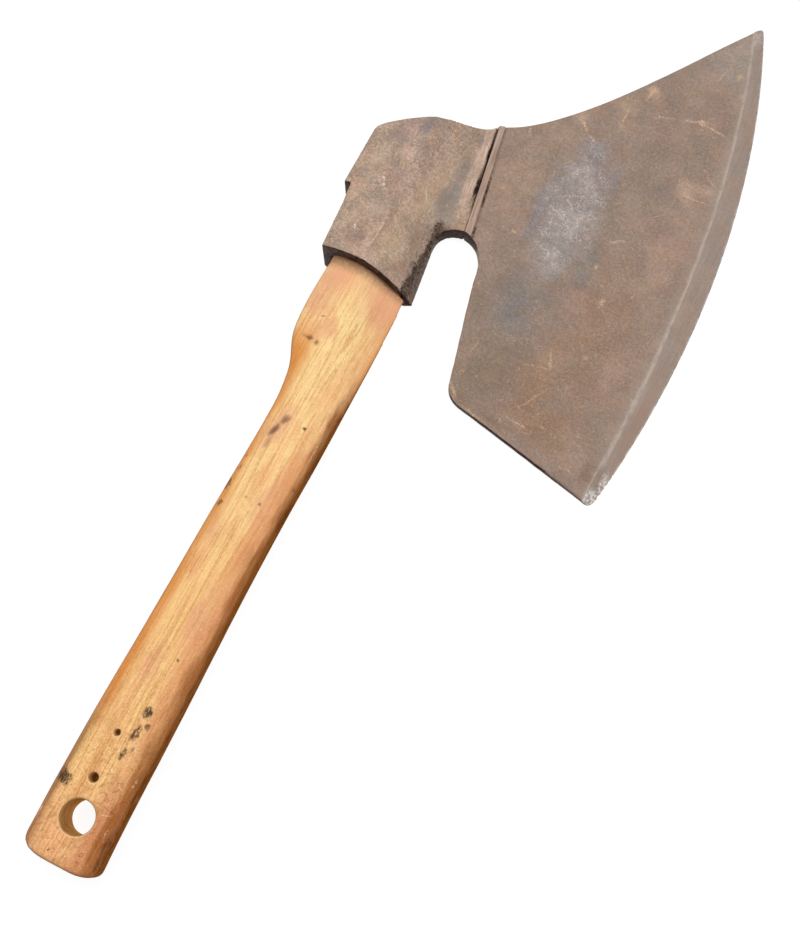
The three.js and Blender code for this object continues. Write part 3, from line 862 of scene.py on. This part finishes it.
def paint(red, green, blue):
    """A colour as the eye sees it on the axe, 0 to 255, turned into the paint that gives it."""
    gloss = 0.020
    shown = [((v / 255 + 0.055) / 1.055) ** 2.4 for v in (red, green, blue)]
    return tuple(max(v - gloss, 0.002) for v in shown)


# Dark forge scale, which also serves as painted shade on the faces that look toward the butt.
SOOT_AND_SHADE = (56, 42, 33)
TARNISH = (0.93, 0.86, 0.80, 1)    # tint of the gloss on old iron
VARNISH = (0.90, 0.62, 0.40, 1)    # tint of the gloss on old varnish
SEAM_TURN = math.atan2(SEAM_TOP[1] - SEAM_BOTTOM[1], SEAM_TOP[0] - SEAM_BOTTOM[0])


def iron_grain(g):
    """The coarse, fine and finest unevenness of old iron."""
    return g.noise(7, 5, 0.65, distortion=0.5), g.noise(2.0, 4, 0.75), g.noise(0.9, 3, 0.8)


def patina(g, base, warm, cool, depth):
    """Soft drifts of warmer and cooler rust under fine speckle; returns the grain of the iron."""
    grain = iron_grain(g)
    g.colour = paint(*base)
    g.coat(warm, (g.noise(30, 4, 0.6), 0.44, 0.64, 0.0, 0.6))
    g.coat(cool, (grain[0], 0.50, 0.68, 0.0, 0.5))
    g.speckle(*grain[1:], depth)
    return grain


def iron_finish(g, grain, depth, metallic, roughness):
    """Gloss and bump of old iron under the colour so far."""
    mottle, fine, grit = grain
    g.set("Base Color", g.colour)
    g.set("Metallic", metallic)
    g.set("Roughness", roughness)
    g.set("Specular IOR Level", 0.32)
    g.set("Specular Tint", TARNISH)
    pits = g.between(g.cells(2.6, g.warped(0.9, 3)), 0.26, 0.06)
    sparse = g.product(pits, g.clouds(9, 2, 0.55, 0.50, 0.58))
    g.bump(
        (mottle, 0.30, 0.30 * depth),
        (fine, 0.35, 0.16 * depth),
        (grit, 0.30, 0.07 * depth),
        (sparse, -0.40, 0.25 * depth),
    )
    return g.material


def add_soot_and_shade(g, strength):
    """Darkens the faces that look toward the butt: partly forge scale left black where nobody polished,
    partly painted shade.
    """
    away = g.facing(0.28, -0.96, 0.0)
    g.coat(SOOT_AND_SHADE, (away, 0.25, 0.6, 0.0, strength), g.clouds(3, 4, 0.7, 0.35, 0.6, 0.85, 1.0))


def seam_frame(g):
    """The place turned so that x runs up the seam from the notch, with how far up it and across it."""
    node = g.add("ShaderNodeMapping", vector_type="TEXTURE")
    g.feed(node.inputs["Vector"], g.mm)
    node.inputs["Location"].default_value = (*SEAM_BOTTOM, 0)
    node.inputs["Rotation"].default_value = (0, 0, SEAM_TURN)
    turned = node.outputs["Vector"]
    up_seam, across, _ = g.split(turned)
    return turned, up_seam, g.math("MULTIPLY", across, -1.0)


# Patches of the blade, each (x, y, half length in x and in y) and then turn and strength where they
# aren't 0 and 1, with their tone.
BLADE_ZONES = (
    (((44, 447, 18, 62, -8), (62, 492, 16, 14, 0, 0.6)), (164, 139, 122)),
    (((132, 372, 34, 84), (136, 310, 34, 34, 0, 0.9)), (154, 127, 109)),
    (((149, 442, 14, 66, -2), (150, 352, 9, 40, 0, 0.6), (146, 300, 12, 26, 0, 0.6)), (166, 140, 124)),
    (((84, 326, 36, 50, 4), (62, 366, 12, 26, 0, 0.8)), (141, 121, 105)),
    (((112, 322, 16, 36, -6, 0.95), (125, 303, 26, 16, 0, 0.7)), (150, 122, 100)),
    (((110, 352, 6, 16, -12, 0.9), (112, 335, 5, 10, 10, 0.7)), (165, 134, 108)),
    (((86, 442, 33, 80, 3), (80, 376, 30, 34, 0, 0.9), (112, 494, 22, 22, 0, 0.6)), (140, 126, 115)),
    (((107, 412, 9, 34, 0, 0.9), (78, 366, 19, 34, 4), (128, 483, 8, 12, 10, 0.7)), (135, 126, 120)),
    (((66, 436, 7, 40, 2), (80, 492, 14, 12, 0, 0.9), (98, 478, 6, 20, 0, 0.6)), (135, 128, 127)),
    (((112, 545, 13, 17, 35, 0.9), (152, 546, 10, 14, 0, 0.7), (122, 512, 32, 12, 0, 0.6)), (141, 120, 107)),
    (((136, 596, 26, 36, -25), (124, 574, 16, 14, 0, 0.5)), (160, 145, 135)),
    (((86, 530, 12, 14, 40, 0.9), (97, 546, 9, 9, 40), (92, 518, 8, 10, 0, 0.6)), (172, 146, 125)),
    (((144, 489, 9, 13, 8), (154, 492, 10, 6, 0, 0.7), (62, 508, 8, 6, 40, 0.8)), (178, 152, 134)),
    (((98, 297, 20, 5, -12, 0.9), (163, 289, 9, 12), (76, 300, 8, 5, -20, 0.6)), (136, 113, 98)),
)
POLISHED_ZONES = ((84, 442, 25, 62, 3), (80, 486, 14, 16, 0, 0.7))
POLISHED_CORES = ((80, 468, 13, 15, 0, 0.9), (85, 434, 13, 20), (88, 405, 12, 14, 0, 0.6))
# Scratches, each (x and y of one end, x and y of the other, half width, strength).
BLADE_SCRATCHES = (
    (87.5, 537, 88, 508, 1.0, 0.9), (104, 532, 119, 536, 0.9, 0.8), (119, 536, 134, 541, 1.2, 0.9),
    (134, 541, 154, 537, 1.0, 1.0), (61, 511, 72, 500, 1.5, 1.0), (72, 500, 77, 497, 1.4, 0.9),
    (36.5, 488, 38.5, 480, 1.2, 0.9), (138, 486, 163, 487, 1.1, 0.9), (113, 434, 122, 440, 0.9, 1.0),
    (97, 555, 95, 540, 1.8, 0.8), (142, 588, 144, 580, 1.3, 0.7), (122, 394, 131, 388, 1.1, 0.8),
    (110, 353, 116, 339, 1.4, 0.9), (98, 336, 118, 341, 0.9, 0.7), (101, 302, 122, 299, 1.0, 0.9),
    (143, 288, 155, 286, 1.0, 0.8), (64, 309, 74, 297, 1.5, 0.9), (74, 297, 96, 292, 1.2, 0.8),
    (120, 330, 107, 308, 0.8, 0.7), (76, 428, 74, 418, 0.8, 0.7), (131, 574, 136, 592, 0.8, 0.6),
    (150, 506, 162, 499, 0.9, 0.6), (70, 340, 67, 327, 0.9, 0.6), (128, 460, 140, 470, 0.6, 0.6),
)
BRIGHT_SPOTS = ((134, 541, 4.5, 3.2, 10), (113.5, 415, 2.0, 1.6, 0, 0.9), (126, 395, 3, 4, 0, 0.8),
                (168, 343, 2.5, 3, 0, 0.7), (97, 551, 5, 4, 0, 0.6), (131, 357, 3, 2.4, 0, 0.6),
                (58, 414, 1.8, 1.6, 0, 0.8), (144, 586, 4, 4, 0, 0.5), (149, 571, 3, 4, 0, 0.4))


def add_zones(g, zones, mottle, vector):
    """Changes the colour to each zone's tone over its patches, unevenly."""
    for patches, tone in zones:
        g.coat(tone, g.spots(patches, vector, 0.1), (mottle, 0.35, 0.65, 0.70, 1.0))


def add_rib(g):
    """The bead along the seam: rubbed pale streaks, and painted shade in the corner on its blade side."""
    turned, up_seam, across = seam_frame(g)
    width = g.math("MULTIPLY_ADD", up_seam, (RIB_WIDTHS[0] - RIB_WIDTHS[1]) / 80, RIB_WIDTHS[1])
    beyond = g.math("SUBTRACT", across, width)
    streaks = g.streaks((20, 0.9, 3), 4, 0.65, turned)
    rubbed = g.blend((150, 125, 110), (198, 170, 154), streaks, 0.34, 0.64)
    g.coat(rubbed, (beyond, 0.3, -0.5), (g.y, 392, 397), 0.8)
    # The painted shade in the corner is blackest a third of the way up and right down at the notch.
    off = g.math("ABSOLUTE", g.math("SUBTRACT", beyond, 0.7))
    middle = g.product((up_seam, 16, 24), (up_seam, 50, 38))
    amount = g.highest(g.between(up_seam, 9, 4), middle, 0.32)
    patchy = g.clouds(3, 4, 0.7, 0.36, 0.54, 0.25, 1.0)
    g.coat((76, 56, 46), (off, 1.3, 0.3), amount, patchy, (g.y, 390, 395))
    # Painted shade on the seam side of the bead, where it drops into the groove.
    g.coat((72, 60, 54), (across, 0.6, 0.1), (up_seam, 12, 22), patchy, 0.8)


def blade_material():
    g = Graph("blade_patina")
    grain = iron_grain(g)
    mottle = grain[0]
    g.colour = paint(154, 132, 118)
    g.coat((149, 131, 117), g.clouds(16, 4, 0.6, 0.42, 0.62, 0.0, 0.7))
    add_zones(g, BLADE_ZONES, mottle, g.warped(8, 18, 4))
    # Years of sliding over timber have rubbed a bluish patch beside the root.
    ragged = g.warped(5, 11, 5)
    polished = g.spots(POLISHED_ZONES, ragged, 0.45)
    cloudy = g.product(polished, g.clouds(9, 4, 0.65, 0.34, 0.56, 0.62, 1.0))
    g.coat((149, 138, 134), cloudy, 0.92)
    g.coat((165, 154, 149), g.spots(POLISHED_CORES, ragged, 0.3), (mottle, 0.36, 0.58, 0.3, 1.0))
    g.drift_hue()
    g.speckle(*grain[1:], 1.2)
    g.coat((208, 196, 190), g.hairs(2.4, 0.05, 6, 3, 0.55, 0.44, 0.60), polished, 0.6)
    g.coat((122, 114, 112), g.hairs(3.1, 0.04, 8, 3, 0.55, 0.46, 0.58), polished, 0.45)
    # Fine hair lines and specks, then the long scratches and the bright knocks.
    fine_marks = g.highest(
        g.hairs(13, 0.006, 6, 3, 0.7, 0.48, 0.58, 0, 0.7),
        g.hairs(7, 0.009, 4, 3, 0.7, 0.54, 0.62, 0, 0.7),
        g.nicks(3, 5, 0.10, 11, 3, 0.55, 0.42, 0.54, 0, 0.9),
    )
    g.coat((204, 174, 146), fine_marks, 0.7)
    broken = g.clouds(1.4, 4, 0.75, 0.38, 0.54)
    knocks = g.product(g.spots(BRIGHT_SPOTS, g.warped(2.5, 3, 4), 0.2), broken)
    g.coat((220, 186, 152), g.highest(g.scratches(BLADE_SCRATCHES, 2.0, 5), knocks), 0.78)
    # Rubbed paler towards the bevel line.
    past_bevel = g.past_curve(BEVEL_CURVE)
    softly = g.clouds(6, 4, 0.65, 0.34, 0.58, 0.4, 1.0)
    g.coat((168, 150, 137), (past_bevel, -8, -1.5), softly, 0.45)
    g.coat((188, 174, 163), (past_bevel, -1.9, -0.2), softly, 0.6)
    add_rib(g)
    # Painted shade, with forge scale, on the faces that look toward the butt.
    add_soot_and_shade(g, 1.0)
    return iron_finish(g, grain, 0.8, g.product(cloudy, 0.2), g.between(cloudy, 0, 1, 0.66, 0.5))


def bit_material():
    g = Graph("bit_patina")
    grain = patina(g, (158, 141, 130), (163, 138, 122), (151, 138, 129), 0.6)
    past_bevel = g.past_curve(BEVEL_CURVE)
    rusty = ((176, 330, 8, 60, 0, 0.8), (172, 300, 8, 20, 0, 0.6))
    g.coat((160, 136, 121), g.spots(rusty, g.warped(4, 12, 4)))
    g.coat((168, 151, 140), (past_bevel, 6.5, 0.5, 0.0, 0.6), (grain[0], 0.3, 0.6))
    # The ridge is rubbed pale: a thin line at the toe, a broad soft one towards the heel.
    reach = g.math("MULTIPLY_ADD", g.between(g.y, 440, 340), 1.4, 1.2)
    ridge = g.between(g.math("DIVIDE", past_bevel, reach), 1.0, 0.25)
    g.coat((194, 181, 171), ridge, g.clouds(5, 4, 0.65, 0.34, 0.58, 0.2, 1.0), 0.7)
    # The heel is knocked back to bright steel, and the very edge shows it here and there.
    heel = g.spot(168, 277, 9, 8, 25, 1.0, g.warped(2.5, 4, 4), 0.45)
    serrated = g.spot(172.5, 287, 3.6, 13, 6, 0.9, g.warped(1.5, 3, 4), 0.3)
    toe = g.spot(143, 620, 7, 14, -20, 0.5, g.warped(2, 4, 4), 0.2)
    crumbled = g.product(g.highest(heel, serrated, toe), g.clouds(1.5, 4, 0.75, 0.42, 0.56))
    thin = g.product((g.past_curve(EDGE_CURVE), -1.3, -0.3), g.clouds(6, 4, 0.7, 0.42, 0.60), 0.5)
    bare = g.highest(crumbled, thin)
    g.coat((140, 122, 110), g.spot(164, 291, 10, 14, 0, 0.8, g.warped(3, 8, 3)))
    grinding = g.streaks((0.7, 26, 9), 3, 0.6)
    g.shade(g.between(grinding, 0.32, 0.68, 0.94, 1.06))
    g.coat((226, 221, 217), bare, 0.85)
    # Painted shade, with forge scale, on the faces that look toward the butt.
    add_soot_and_shade(g, 0.7)
    metallic = g.math("MULTIPLY_ADD", bare, 0.35, 0.05)
    return iron_finish(g, grain, 0.6, metallic, g.between(bare, 0, 1, 0.58, 0.36))


SOCKET_ZONES = (
    (((3, 410, 10, 52, -6), (-2, 362, 10, 22)), (190, 163, 138)),
    (((-34, 412, 8, 10), (-36, 392, 7, 12, 0, 0.7), (-20, 420, 8, 7, 0, 0.9)), (191, 165, 147)),
    (((-20, 378, 13, 10, 10), (-13, 355, 4.5, 16, 0, 0.9), (-30, 372, 8, 12, 0, 0.6)), (188, 161, 144)),
    (((-22, 444, 20, 9, 22), (-14, 452, 8, 8, 30, 0.9), (-30, 430, 12, 8, 20, 0.8)), (156, 136, 126)),
    (((-16, 442, 6, 10, 10), (-15, 453, 5, 4, 0, 0.8)), (138, 127, 124)),
    (((-18, 401, 10, 10, 0, 0.9), (-12, 392, 8, 12, 0, 0.7), (-22, 355, 9, 9, 0, 0.9)), (161, 134, 120)),
    (((-8.4, 372, 2.4, 34, -2, 0.8), (-12, 430, 4, 8, 0, 0.6), (9, 372, 5, 26, 0, 0.6)), (160, 134, 119)),
    (((-31, 365, 5, 6, 0, 0.8), (-44, 405, 4, 9, 0, 0.7), (-19, 412, 4, 5, 0, 0.7)), (186, 160, 130)),
)
SOCKET_BLUE = ((14, 415, 8, 24, -8), (14, 460, 2.8, 8, 8), (17, 402, 9, 9, 0, 0.8),
               (12.5, 436, 4.5, 16, -4, 0.8), (14, 446, 2.2, 8, 0, 0.5))
SOCKET_SCRATCHES = (
    (-25.5, 401, -23.5, 397.5, 1.2, 1.0), (-23.2, 396.5, -20.6, 391.5, 1.2, 1.0),
    (-1, 410, 4, 400, 0.6, 0.8), (-26.5, 364.5, -24.8, 361, 1.2, 1.0), (-35, 350.5, -33, 347.5, 0.9, 0.9),
    (-4.5, 355, -1.5, 357, 0.8, 0.8), (-32, 383, -29, 377, 0.5, 0.6), (-10, 394, -8, 386, 0.5, 0.7),
    (-8, 386, -3, 386, 0.5, 0.6), (4, 371, 5, 362, 0.5, 0.5), (-10.5, 376, -11.5, 350, 0.6, 0.7),
    (-38, 433, -38, 426, 0.5, 0.5), (17, 470, 19, 452, 0.6, 0.6), (-36, 384, -38, 379, 0.6, 0.6),
    (-7, 426, -13, 414, 0.5, 0.4), (8, 436, 7, 424, 0.4, 0.5), (-30, 443, -26, 447, 0.5, 0.5),
    (0, 446, 8, 452, 0.4, 0.4),
)


def add_seam(g):
    """Socket side of the seam: a painted highlight on the rounded lip, a blue-grey streak, and painted shade
    and dirt in the groove.
    """
    turned, up_seam, across = seam_frame(g)
    streaks = g.streaks((16, 1.3, 3), 4, 0.65, turned)
    patchy = g.clouds(7, 3, 0.6, 0.36, 0.60, 0.3, 1.0)
    g.coat((147, 139, 132), g.spots(SOCKET_BLUE, g.warped(1.6, 5, 3), 0.3), (streaks, 0.68, 0.42, 0.25, 0.85))
    # The lip leaves the groove towards the notch, where the painted shade of the groove widens between them.
    middle = g.between(up_seam, 30, 72, -6.3, -4.0)
    beside = g.math("ABSOLUTE", g.math("SUBTRACT", across, middle))
    # A painted highlight on the rounded lip of the socket, streaked.
    pale = g.blend((180, 154, 137), (214, 187, 168), streaks, 0.36, 0.62)
    g.coat(pale, (beside, 4.2, 1.2), (up_seam, 4, 24), patchy, 0.95)
    # Painted shade and dirt in the groove: dark brown along it, black in patches.
    wavering = g.math("ADD", across, g.clouds(8, 4, 0.7, 0.3, 0.7, -0.5, 0.5))
    widened = g.math("ADD", wavering, g.between(up_seam, 50, 34, 0.0, 0.9))
    ragged_up = g.math("ADD", up_seam, g.between(streaks, 0.3, 0.7, -6, 6))
    g.coat((98, 80, 70), (widened, -2.3, -0.9), (ragged_up, 14, 26), 0.85)
    blackest = g.highest(
        g.product((ragged_up, 20, 28), (ragged_up, 46, 36)),
        g.product((ragged_up, 56, 62), (ragged_up, 74, 68)),
    )
    g.coat((44, 40, 42), (widened, -1.9, -0.9), blackest, patchy)


def socket_material():
    g = Graph("socket_patina")
    grain = patina(g, (175, 151, 134), (180, 153, 132), (165, 144, 131), 1.15)
    mottle = grain[0]
    add_zones(g, SOCKET_ZONES, mottle, g.warped(5, 9, 5))
    g.drift_hue()
    g.speckle(*grain[1:], 1.15)
    add_seam(g)
    # Black scale clings along the top of the rounded side of the lug, over dark brown.
    wavy = g.math("ADD", g.x, g.clouds(4, 5, 0.75, 0.3, 0.7, -2.0, 2.0))
    side = g.product((wavy, 12.6, 14.6), (g.y, 401, 394))
    g.coat((102, 84, 73), side, 0.84)
    g.coat((50, 44, 41), side, (wavy, 19.5, 16.5), g.clouds(2.4, 5, 0.8, 0.42, 0.54), 0.78)
    g.coat((234, 214, 192), g.scratches(SOCKET_SCRATCHES, 0.7, 4), 0.95)
    hairs = g.hairs(11, 0.008, 5, 3, 0.7, 0.48, 0.58, 0, 0.6)
    nicks = g.nicks(2, 4, 0.12, 9, 3, 0.55, 0.44, 0.56, 0, 0.8)
    g.coat((208, 178, 152), g.highest(hairs, nicks))
    # Painted shade, with forge scale, on the faces that look toward the butt.
    add_soot_and_shade(g, 1.0)
    return iron_finish(g, grain, 1.15, 0.05, g.between(mottle, 0.3, 0.7, 0.58, 0.72))


# Marks on the wood, as spots or scratches.
BLACK_STAINS = (
    (6.9, 60.5, 3.2, 4.6, 8), (10.6, 54.5, 2.0, 2.4, 0, 0.8), (6.3, 49, 2.7, 6.4, -4, 0.95),
    (5.9, 37, 2.1, 4.4, -6, 0.9), (-15.3, 13.8, 5.0, 4.6, 20), (-18, 15, 3, 5, 0, 0.9),
    (6.9, 91.5, 1.2, 1.0, 0, 0.9), (-4, -19.5, 1.3, 0.9, 0, 0.9), (-17.5, 190, 2.2, 6.5, 10, 0.8),
    (-15.5, 177, 1.6, 2.6, 0, 0.8), (5.2, 186, 1.0, 1.6, 30, 0.8), (17.6, 202, 1.0, 1.6, 0, 0.5),
    (-17.5, 304.5, 1.2, 1.0, 0, 0.8), (6.9, 236, 1.6, 1.6), (-3.5, 186, 0.9, 1.0, 0, 0.5),
    (-15.8, 200, 0.9, 1.8, 0, 0.6), (9, 41, 1.4, 2.2, 0, 0.6), (-16, 208, 0.8, 1.4, 0, 0.6),
)
KNOTS = (
    (-18.3, 288.7, 3.6, 2.6, 0, 0.95), (-12.8, 287.2, 2.2, 2.4, 0, 0.8), (-21, 289, 4, 2, 0, 0.4),
    (-8.6, 228, 3.0, 7.0, -14), (-5.6, 236, 3.0, 5.0, -20, 0.9), (-8.5, 220, 2, 6, -8, 0.4),
)
ROSY_ZONES = (
    (-24, 322, 14, 28), (10, 326, 14, 16, 0, 0.9), (-14, 296, 12, 14, 0, 0.7), (-8, 230, 9, 22, -6, 0.8),
    (8, 190, 7, 26, -4, 0.8), (-12, 164, 7, 16, 0, 0.6), (8, 120, 9, 30, 0, 0.6), (-4, 84, 8, 18, 0, 0.5),
)
CRACKS = (
    (-2.4, 43, -2.6, 24, 0.45, 0.7), (2, 39, 0.5, 27, 0.45, 0.8), (-11, 29, -8, 34, 0.6, 0.7),
    (-8, 34, 0, 30, 0.45, 0.6), (2, 24, 9, 28, 0.5, 0.7), (9, 22, 17, 26, 0.5, 0.6),
    (8, 11, 19, 8.5, 0.6, 0.9), (5, 18, 12, 13, 0.5, 0.6), (12, 13, 19, 15, 0.45, 0.6),
    (3, 9.5, 9, 11, 0.4, 0.7), (10, 30, 16, 33, 0.4, 0.5), (-2, 36, 4, 39, 0.5, 0.6),
    (11, 18, 14, 22, 0.6, 0.6), (14, -6, 18, -10, 0.4, 0.5), (-4, 282, -3, 246, 0.3, 0.5),
    (4, 268, 5, 238, 0.3, 0.4), (12, 115, 13, 80, 0.35, 0.5),
)
PALE_NICKS = (
    (8, 112, 14, 109, 0.6, 0.7), (17.5, 245, 17, 214, 0.5, 0.5), (18.3, 30, 18, 22, 0.6, 0.6),
    (11, 24, 16, 19, 0.5, 0.8), (9, 44, 12, 39, 0.7, 0.8), (4, 43, 9, 45, 0.7, 0.8),
    (13, 62, 14, 50, 0.5, 0.6), (-19.5, -2, -19, -9, 1.0, 0.9), (17.5, 2, 18, -6, 0.6, 0.6),
    (-21, 230, -14, 233, 0.4, 0.6), (10, 6.5, 16, 7.5, 0.5, 0.9), (-17, 152, -16, 146, 0.6, 0.6),
)


def add_figure(g, pores, clouds, flames, bowed):
    """Growth rings, as soft bands, as fine lines about two millimetres apart and as rows of pores;
    returns those rows."""
    x, y = g.x, g.y
    bands = g.streaks((6.5, 120, 10), 3, 0.5, bowed)
    ringed = g.between(g.streaks((1.5, 160, 3), 2, 0.5, bowed), 0.50, 0.60)
    dotted = g.product(ringed, (pores, 0.46, 0.58))
    g.colour = g.blend((255, 211, 146), (255, 223, 162), y, 90, 290)
    for tone, *amounts in (
        ((250, 190, 140), (y, 30, -15, 0.0, 0.85)),
        ((254, 216, 152), (bands, 0.50, 0.66, 0.0, 0.45)),
        ((232, 166, 104), (bands, 0.48, 0.32, 0.0, 0.5)),
        ((232, 168, 118), (clouds, 0.50, 0.66, 0.0, 0.5)),
        ((242, 178, 128), (flames, 0.48, 0.62), (y, 310, 240, 0.35, 0.6)),
        ((214, 142, 86), ringed, 0.26),
        ((200, 124, 70), dotted, 0.38),
        ((184, 112, 64), (pores, 0.60, 0.68, 0.0, 0.28), (y, 130, 20, 0.7, 1.3)),
        ((112, 72, 44), (pores, 0.54, 0.62), (x, -11, -17), (y, 160, 178), (y, 240, 215), 0.6),
        ((243, 184, 132), (x, 4, 14), (y, 215, 250), (clouds, 0.3, 0.6, 0.4, 1.0), 0.75),
        ((233, 172, 136), g.spots(ROSY_ZONES, g.warped(5, 12, 4), 0.3), (clouds, 0.3, 0.6, 0.6, 1.0), 0.8),
    ):
        g.coat(tone, *amounts)
    return dotted


def add_varnish_and_shade(g, strands, clouds, flames):
    """Varnish, thick and dark along both sides, with painted shade over the blade side and the walls that
    look sideways, most of all on the blade side of the lower half; returns where the wood looks sideways."""
    x, y = g.x, g.y
    wavering = g.between(g.streaks((7, 34, 9), 4, 0.6), 0.3, 0.7, -2.0, 2.0)
    inset = g.math("SUBTRACT", g.math("ADD", x, wavering), g.between(y, 238, 282, 0.0, 4.2))
    low_inset = g.math("MULTIPLY_ADD", g.z, -0.30, inset)
    left = g.math("SUBTRACT", g.math("MULTIPLY", wavering, 0.5), x)
    streaked = g.between(flames, 0.36, 0.60, 0.70, 1.0)
    sideways = g.between(g.math("ABSOLUTE", g.facing(0, 0, 1)), 0.80, 0.05)
    # The colour of the painted shade on the walls that look sideways.
    wall = g.blend((118, 74, 44), (150, 98, 58), strands, 0.35, 0.65)
    worn = ((21, 186, 4.5, 18, 0, 0.9), (20.5, 222, 2.5, 12, 0, 0.5))
    for tone, *amounts in (
        # Towards the blade side the wood darkens: partly darker varnish, partly painted shade, deepest low
        # down.
        ((226, 158, 112), (inset, 4.5, 12.5), (y, 262, 200), (clouds, 0.3, 0.6, 0.55, 1.0), 0.85),
        ((204, 138, 98), (inset, 2, 12), (y, 45, 5), streaked, 0.5),
        ((158, 97, 54), (inset, 12.5, 18.0), (y, 300, 262), streaked, 0.92),
        ((86, 50, 31), (low_inset, 12.6, 15.2), 0.9, (y, 330, 280, 0.3, 1.0)),
        ((226, 146, 74), (left, 9.5, 18), (y, 306, 276), (y, 30, 70), 0.85),
        ((158, 106, 68), (left, 13.5, 18.5), (y, 70, 30), 0.8),
        ((232, 152, 84), (x, 15, 19), (y, 262, 290), 0.5),
        # Painted shade on the walls that look sideways.
        (wall, sideways, 0.9),
        ((104, 62, 42), g.spots(worn, g.warped(1.5, 6, 4))),
    ):
        g.coat(tone, *amounts)
    return sideways


def add_marks(g, clouds):
    """Handling dirt, painted shade just below the socket's mouth, knots, cracks, nicks and stains; returns
    where the dirt is.
    """
    y = g.y
    grubby = g.product(g.clouds(9, 5, 0.75, 0.50, 0.62), (y, 80, 10, 0.15, 0.75))
    scuffs = g.product(g.hairs(8, 0.012, 4, 4, 0.7, 0.50, 0.60), (y, 60, 20, 0.2, 0.8))
    stains = g.spots(BLACK_STAINS, g.warped(2.2, 2.6, 5), 0.45)
    for tone, *amounts in (
        ((182, 120, 78), grubby, 0.5),
        ((242, 178, 138), (y, 316, 336), (clouds, 0.35, 0.6, 0.3, 0.75)),
        # Painted shade in the band just below the socket's mouth, broken up by noise.
        ((176, 134, 108), (y, 334.5, 341.5), g.clouds(2.4, 5, 0.75, 0.32, 0.60, 0.5, 1.0), 0.8),
        ((116, 76, 70), g.spots(KNOTS, g.warped(1.4, 3.2, 4)), 0.85),
        ((96, 60, 40), g.highest(g.scratches(CRACKS, 1.0, 4), scuffs), 0.75),
        ((252, 226, 186), g.scratches(PALE_NICKS, 0.9, 3), 0.8),
        ((38, 36, 40), stains, (g.streaks((0.9, 3.2, 0.9), 5, 0.85), 0.40, 0.50), 0.92),
    ):
        g.coat(tone, *amounts)
    return grubby


def add_bare_wood(g):
    """Raw brown hole walls with a rim paler on its lower side, end grain and the tenon; returns where
    the wood is bare."""
    walls, rims = 0.0, 0.0
    for hole_x, hole_y, radius in (HANG_HOLE, *(hole[:3] for hole in PILOT_HOLES)):
        offset = g.vector("MULTIPLY_ADD", g.mm, (1, 1, 0), (-hole_x, -hole_y, 0))
        distance = g.vector("LENGTH", offset)
        lower_rim = g.between(g.split(offset)[1], radius * 0.3, -radius * 0.8, 0.25, 1.0)
        walls = g.highest(walls, g.between(distance, radius + 0.5, radius + 0.15))
        rims = g.highest(rims, g.product((distance, radius + 1.5, radius + 0.8), lower_rim))
    turned_wall = g.blend((218, 172, 112), (176, 128, 76), g.streaks((5, 5, 0.6), 4, 0.7), 0.4, 0.6)
    tenon = g.between(g.y, 343, 348)
    for tone, *amounts in (
        ((244, 208, 162), rims, 0.6),
        (turned_wall, walls),
        ((150, 104, 70), (g.facing(0, -1, 0), 0.5, 0.9), (g.y, -20, -24), 0.7),
        ((168, 140, 110), tenon),
    ):
        g.coat(tone, *amounts)
    return g.highest(walls, tenon)


def wood_material():
    g = Graph("varnished_wood")
    bowed = g.warped(3, 90)
    strands = g.streaks((0.6, 8, 1.2), 4, 0.75)
    pores = g.streaks((0.5, 2.6, 0.5), 3, 0.6)
    fibres = g.noise(0.9, 3, 0.8)
    clouds = g.streaks((11, 26, 11), 4, 0.6)
    flames = g.streaks((2.4, 44, 8), 4, 0.6, bowed)

    dotted = add_figure(g, pores, clouds, flames, bowed)
    sideways = add_varnish_and_shade(g, strands, clouds, flames)
    # Fibres show as fine shading, rougher towards the butt, and the darker ones are warmer.
    rough = g.between(g.y, 130, 20, 1.0, 1.9)
    for field, low, high in ((strands, 0.91, 1.06), (fibres, 0.89, 1.09), (flames, 0.94, 1.05)):
        shade = g.between(field, 0.34, 0.66, low, high)
        deeper = g.math("MULTIPLY_ADD", g.math("SUBTRACT", shade, 1.0), rough, 1.0)
        g.shade(g.math("POWER", deeper, 0.6), deeper, g.math("POWER", deeper, 1.35))
    grubby = add_marks(g, clouds)
    bare = add_bare_wood(g)

    g.set("Base Color", g.colour)
    dull = g.highest(bare, g.product(grubby, 0.6), sideways)
    g.set("Roughness", g.between(dull, 0, 1, 0.56, 0.80))
    g.set("Specular IOR Level", 0.28)    # for the export, which drops the link made next
    g.set("Specular IOR Level", g.between(sideways, 0, 1, 0.28, 0.0))
    g.set("Specular Tint", VARNISH)
    g.bump((strands, -0.25, 0.14), (dotted, -0.20, 0.12), (g.noise(6, 4, 0.6), 0.22, 0.35))
    return g.material


def end_grain_material():
    g = Graph("wedge_end_grain")
    fibres = g.streaks((0.5, 9, 0.5), 4, 0.6)
    rings = g.noise(2.4, 3, 0.5)
    g.colour = g.blend((178, 146, 112), (150, 118, 88), rings, 0.40, 0.62)
    g.coat((104, 80, 60), (fibres, 0.52, 0.66, 0.0, 0.6))
    g.set("Base Color", g.colour)
    g.set("Roughness", g.between(fibres, 0.3, 0.7, 0.72, 0.88))
    g.bump((fibres, -0.5, 0.3), (rings, 0.3, 0.25))
    return g.material


def wedge_iron_material():
    g = Graph("wedge_rust")
    grain = patina(g, (104, 86, 76), (118, 84, 62), (80, 70, 64), 1.4)
    return iron_finish(g, grain, 1.2, 0.2, g.between(grain[0], 0.3, 0.7, 0.55, 0.75))


# ------------------------------------------------------------------ the whole scene

bpy.context.scene.view_settings.view_transform = "Standard"
make_camera()
make_stage()
make_blade(blade_material())
make_bit(bit_material())
make_socket(socket_material())
make_handle(wood_material())
dress(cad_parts["wood_wedge"], end_grain_material())
wedge_rust = wedge_iron_material()
dress(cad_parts["steel_wedge_1"], wedge_rust)
dress(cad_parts["steel_wedge_2"], wedge_rust)
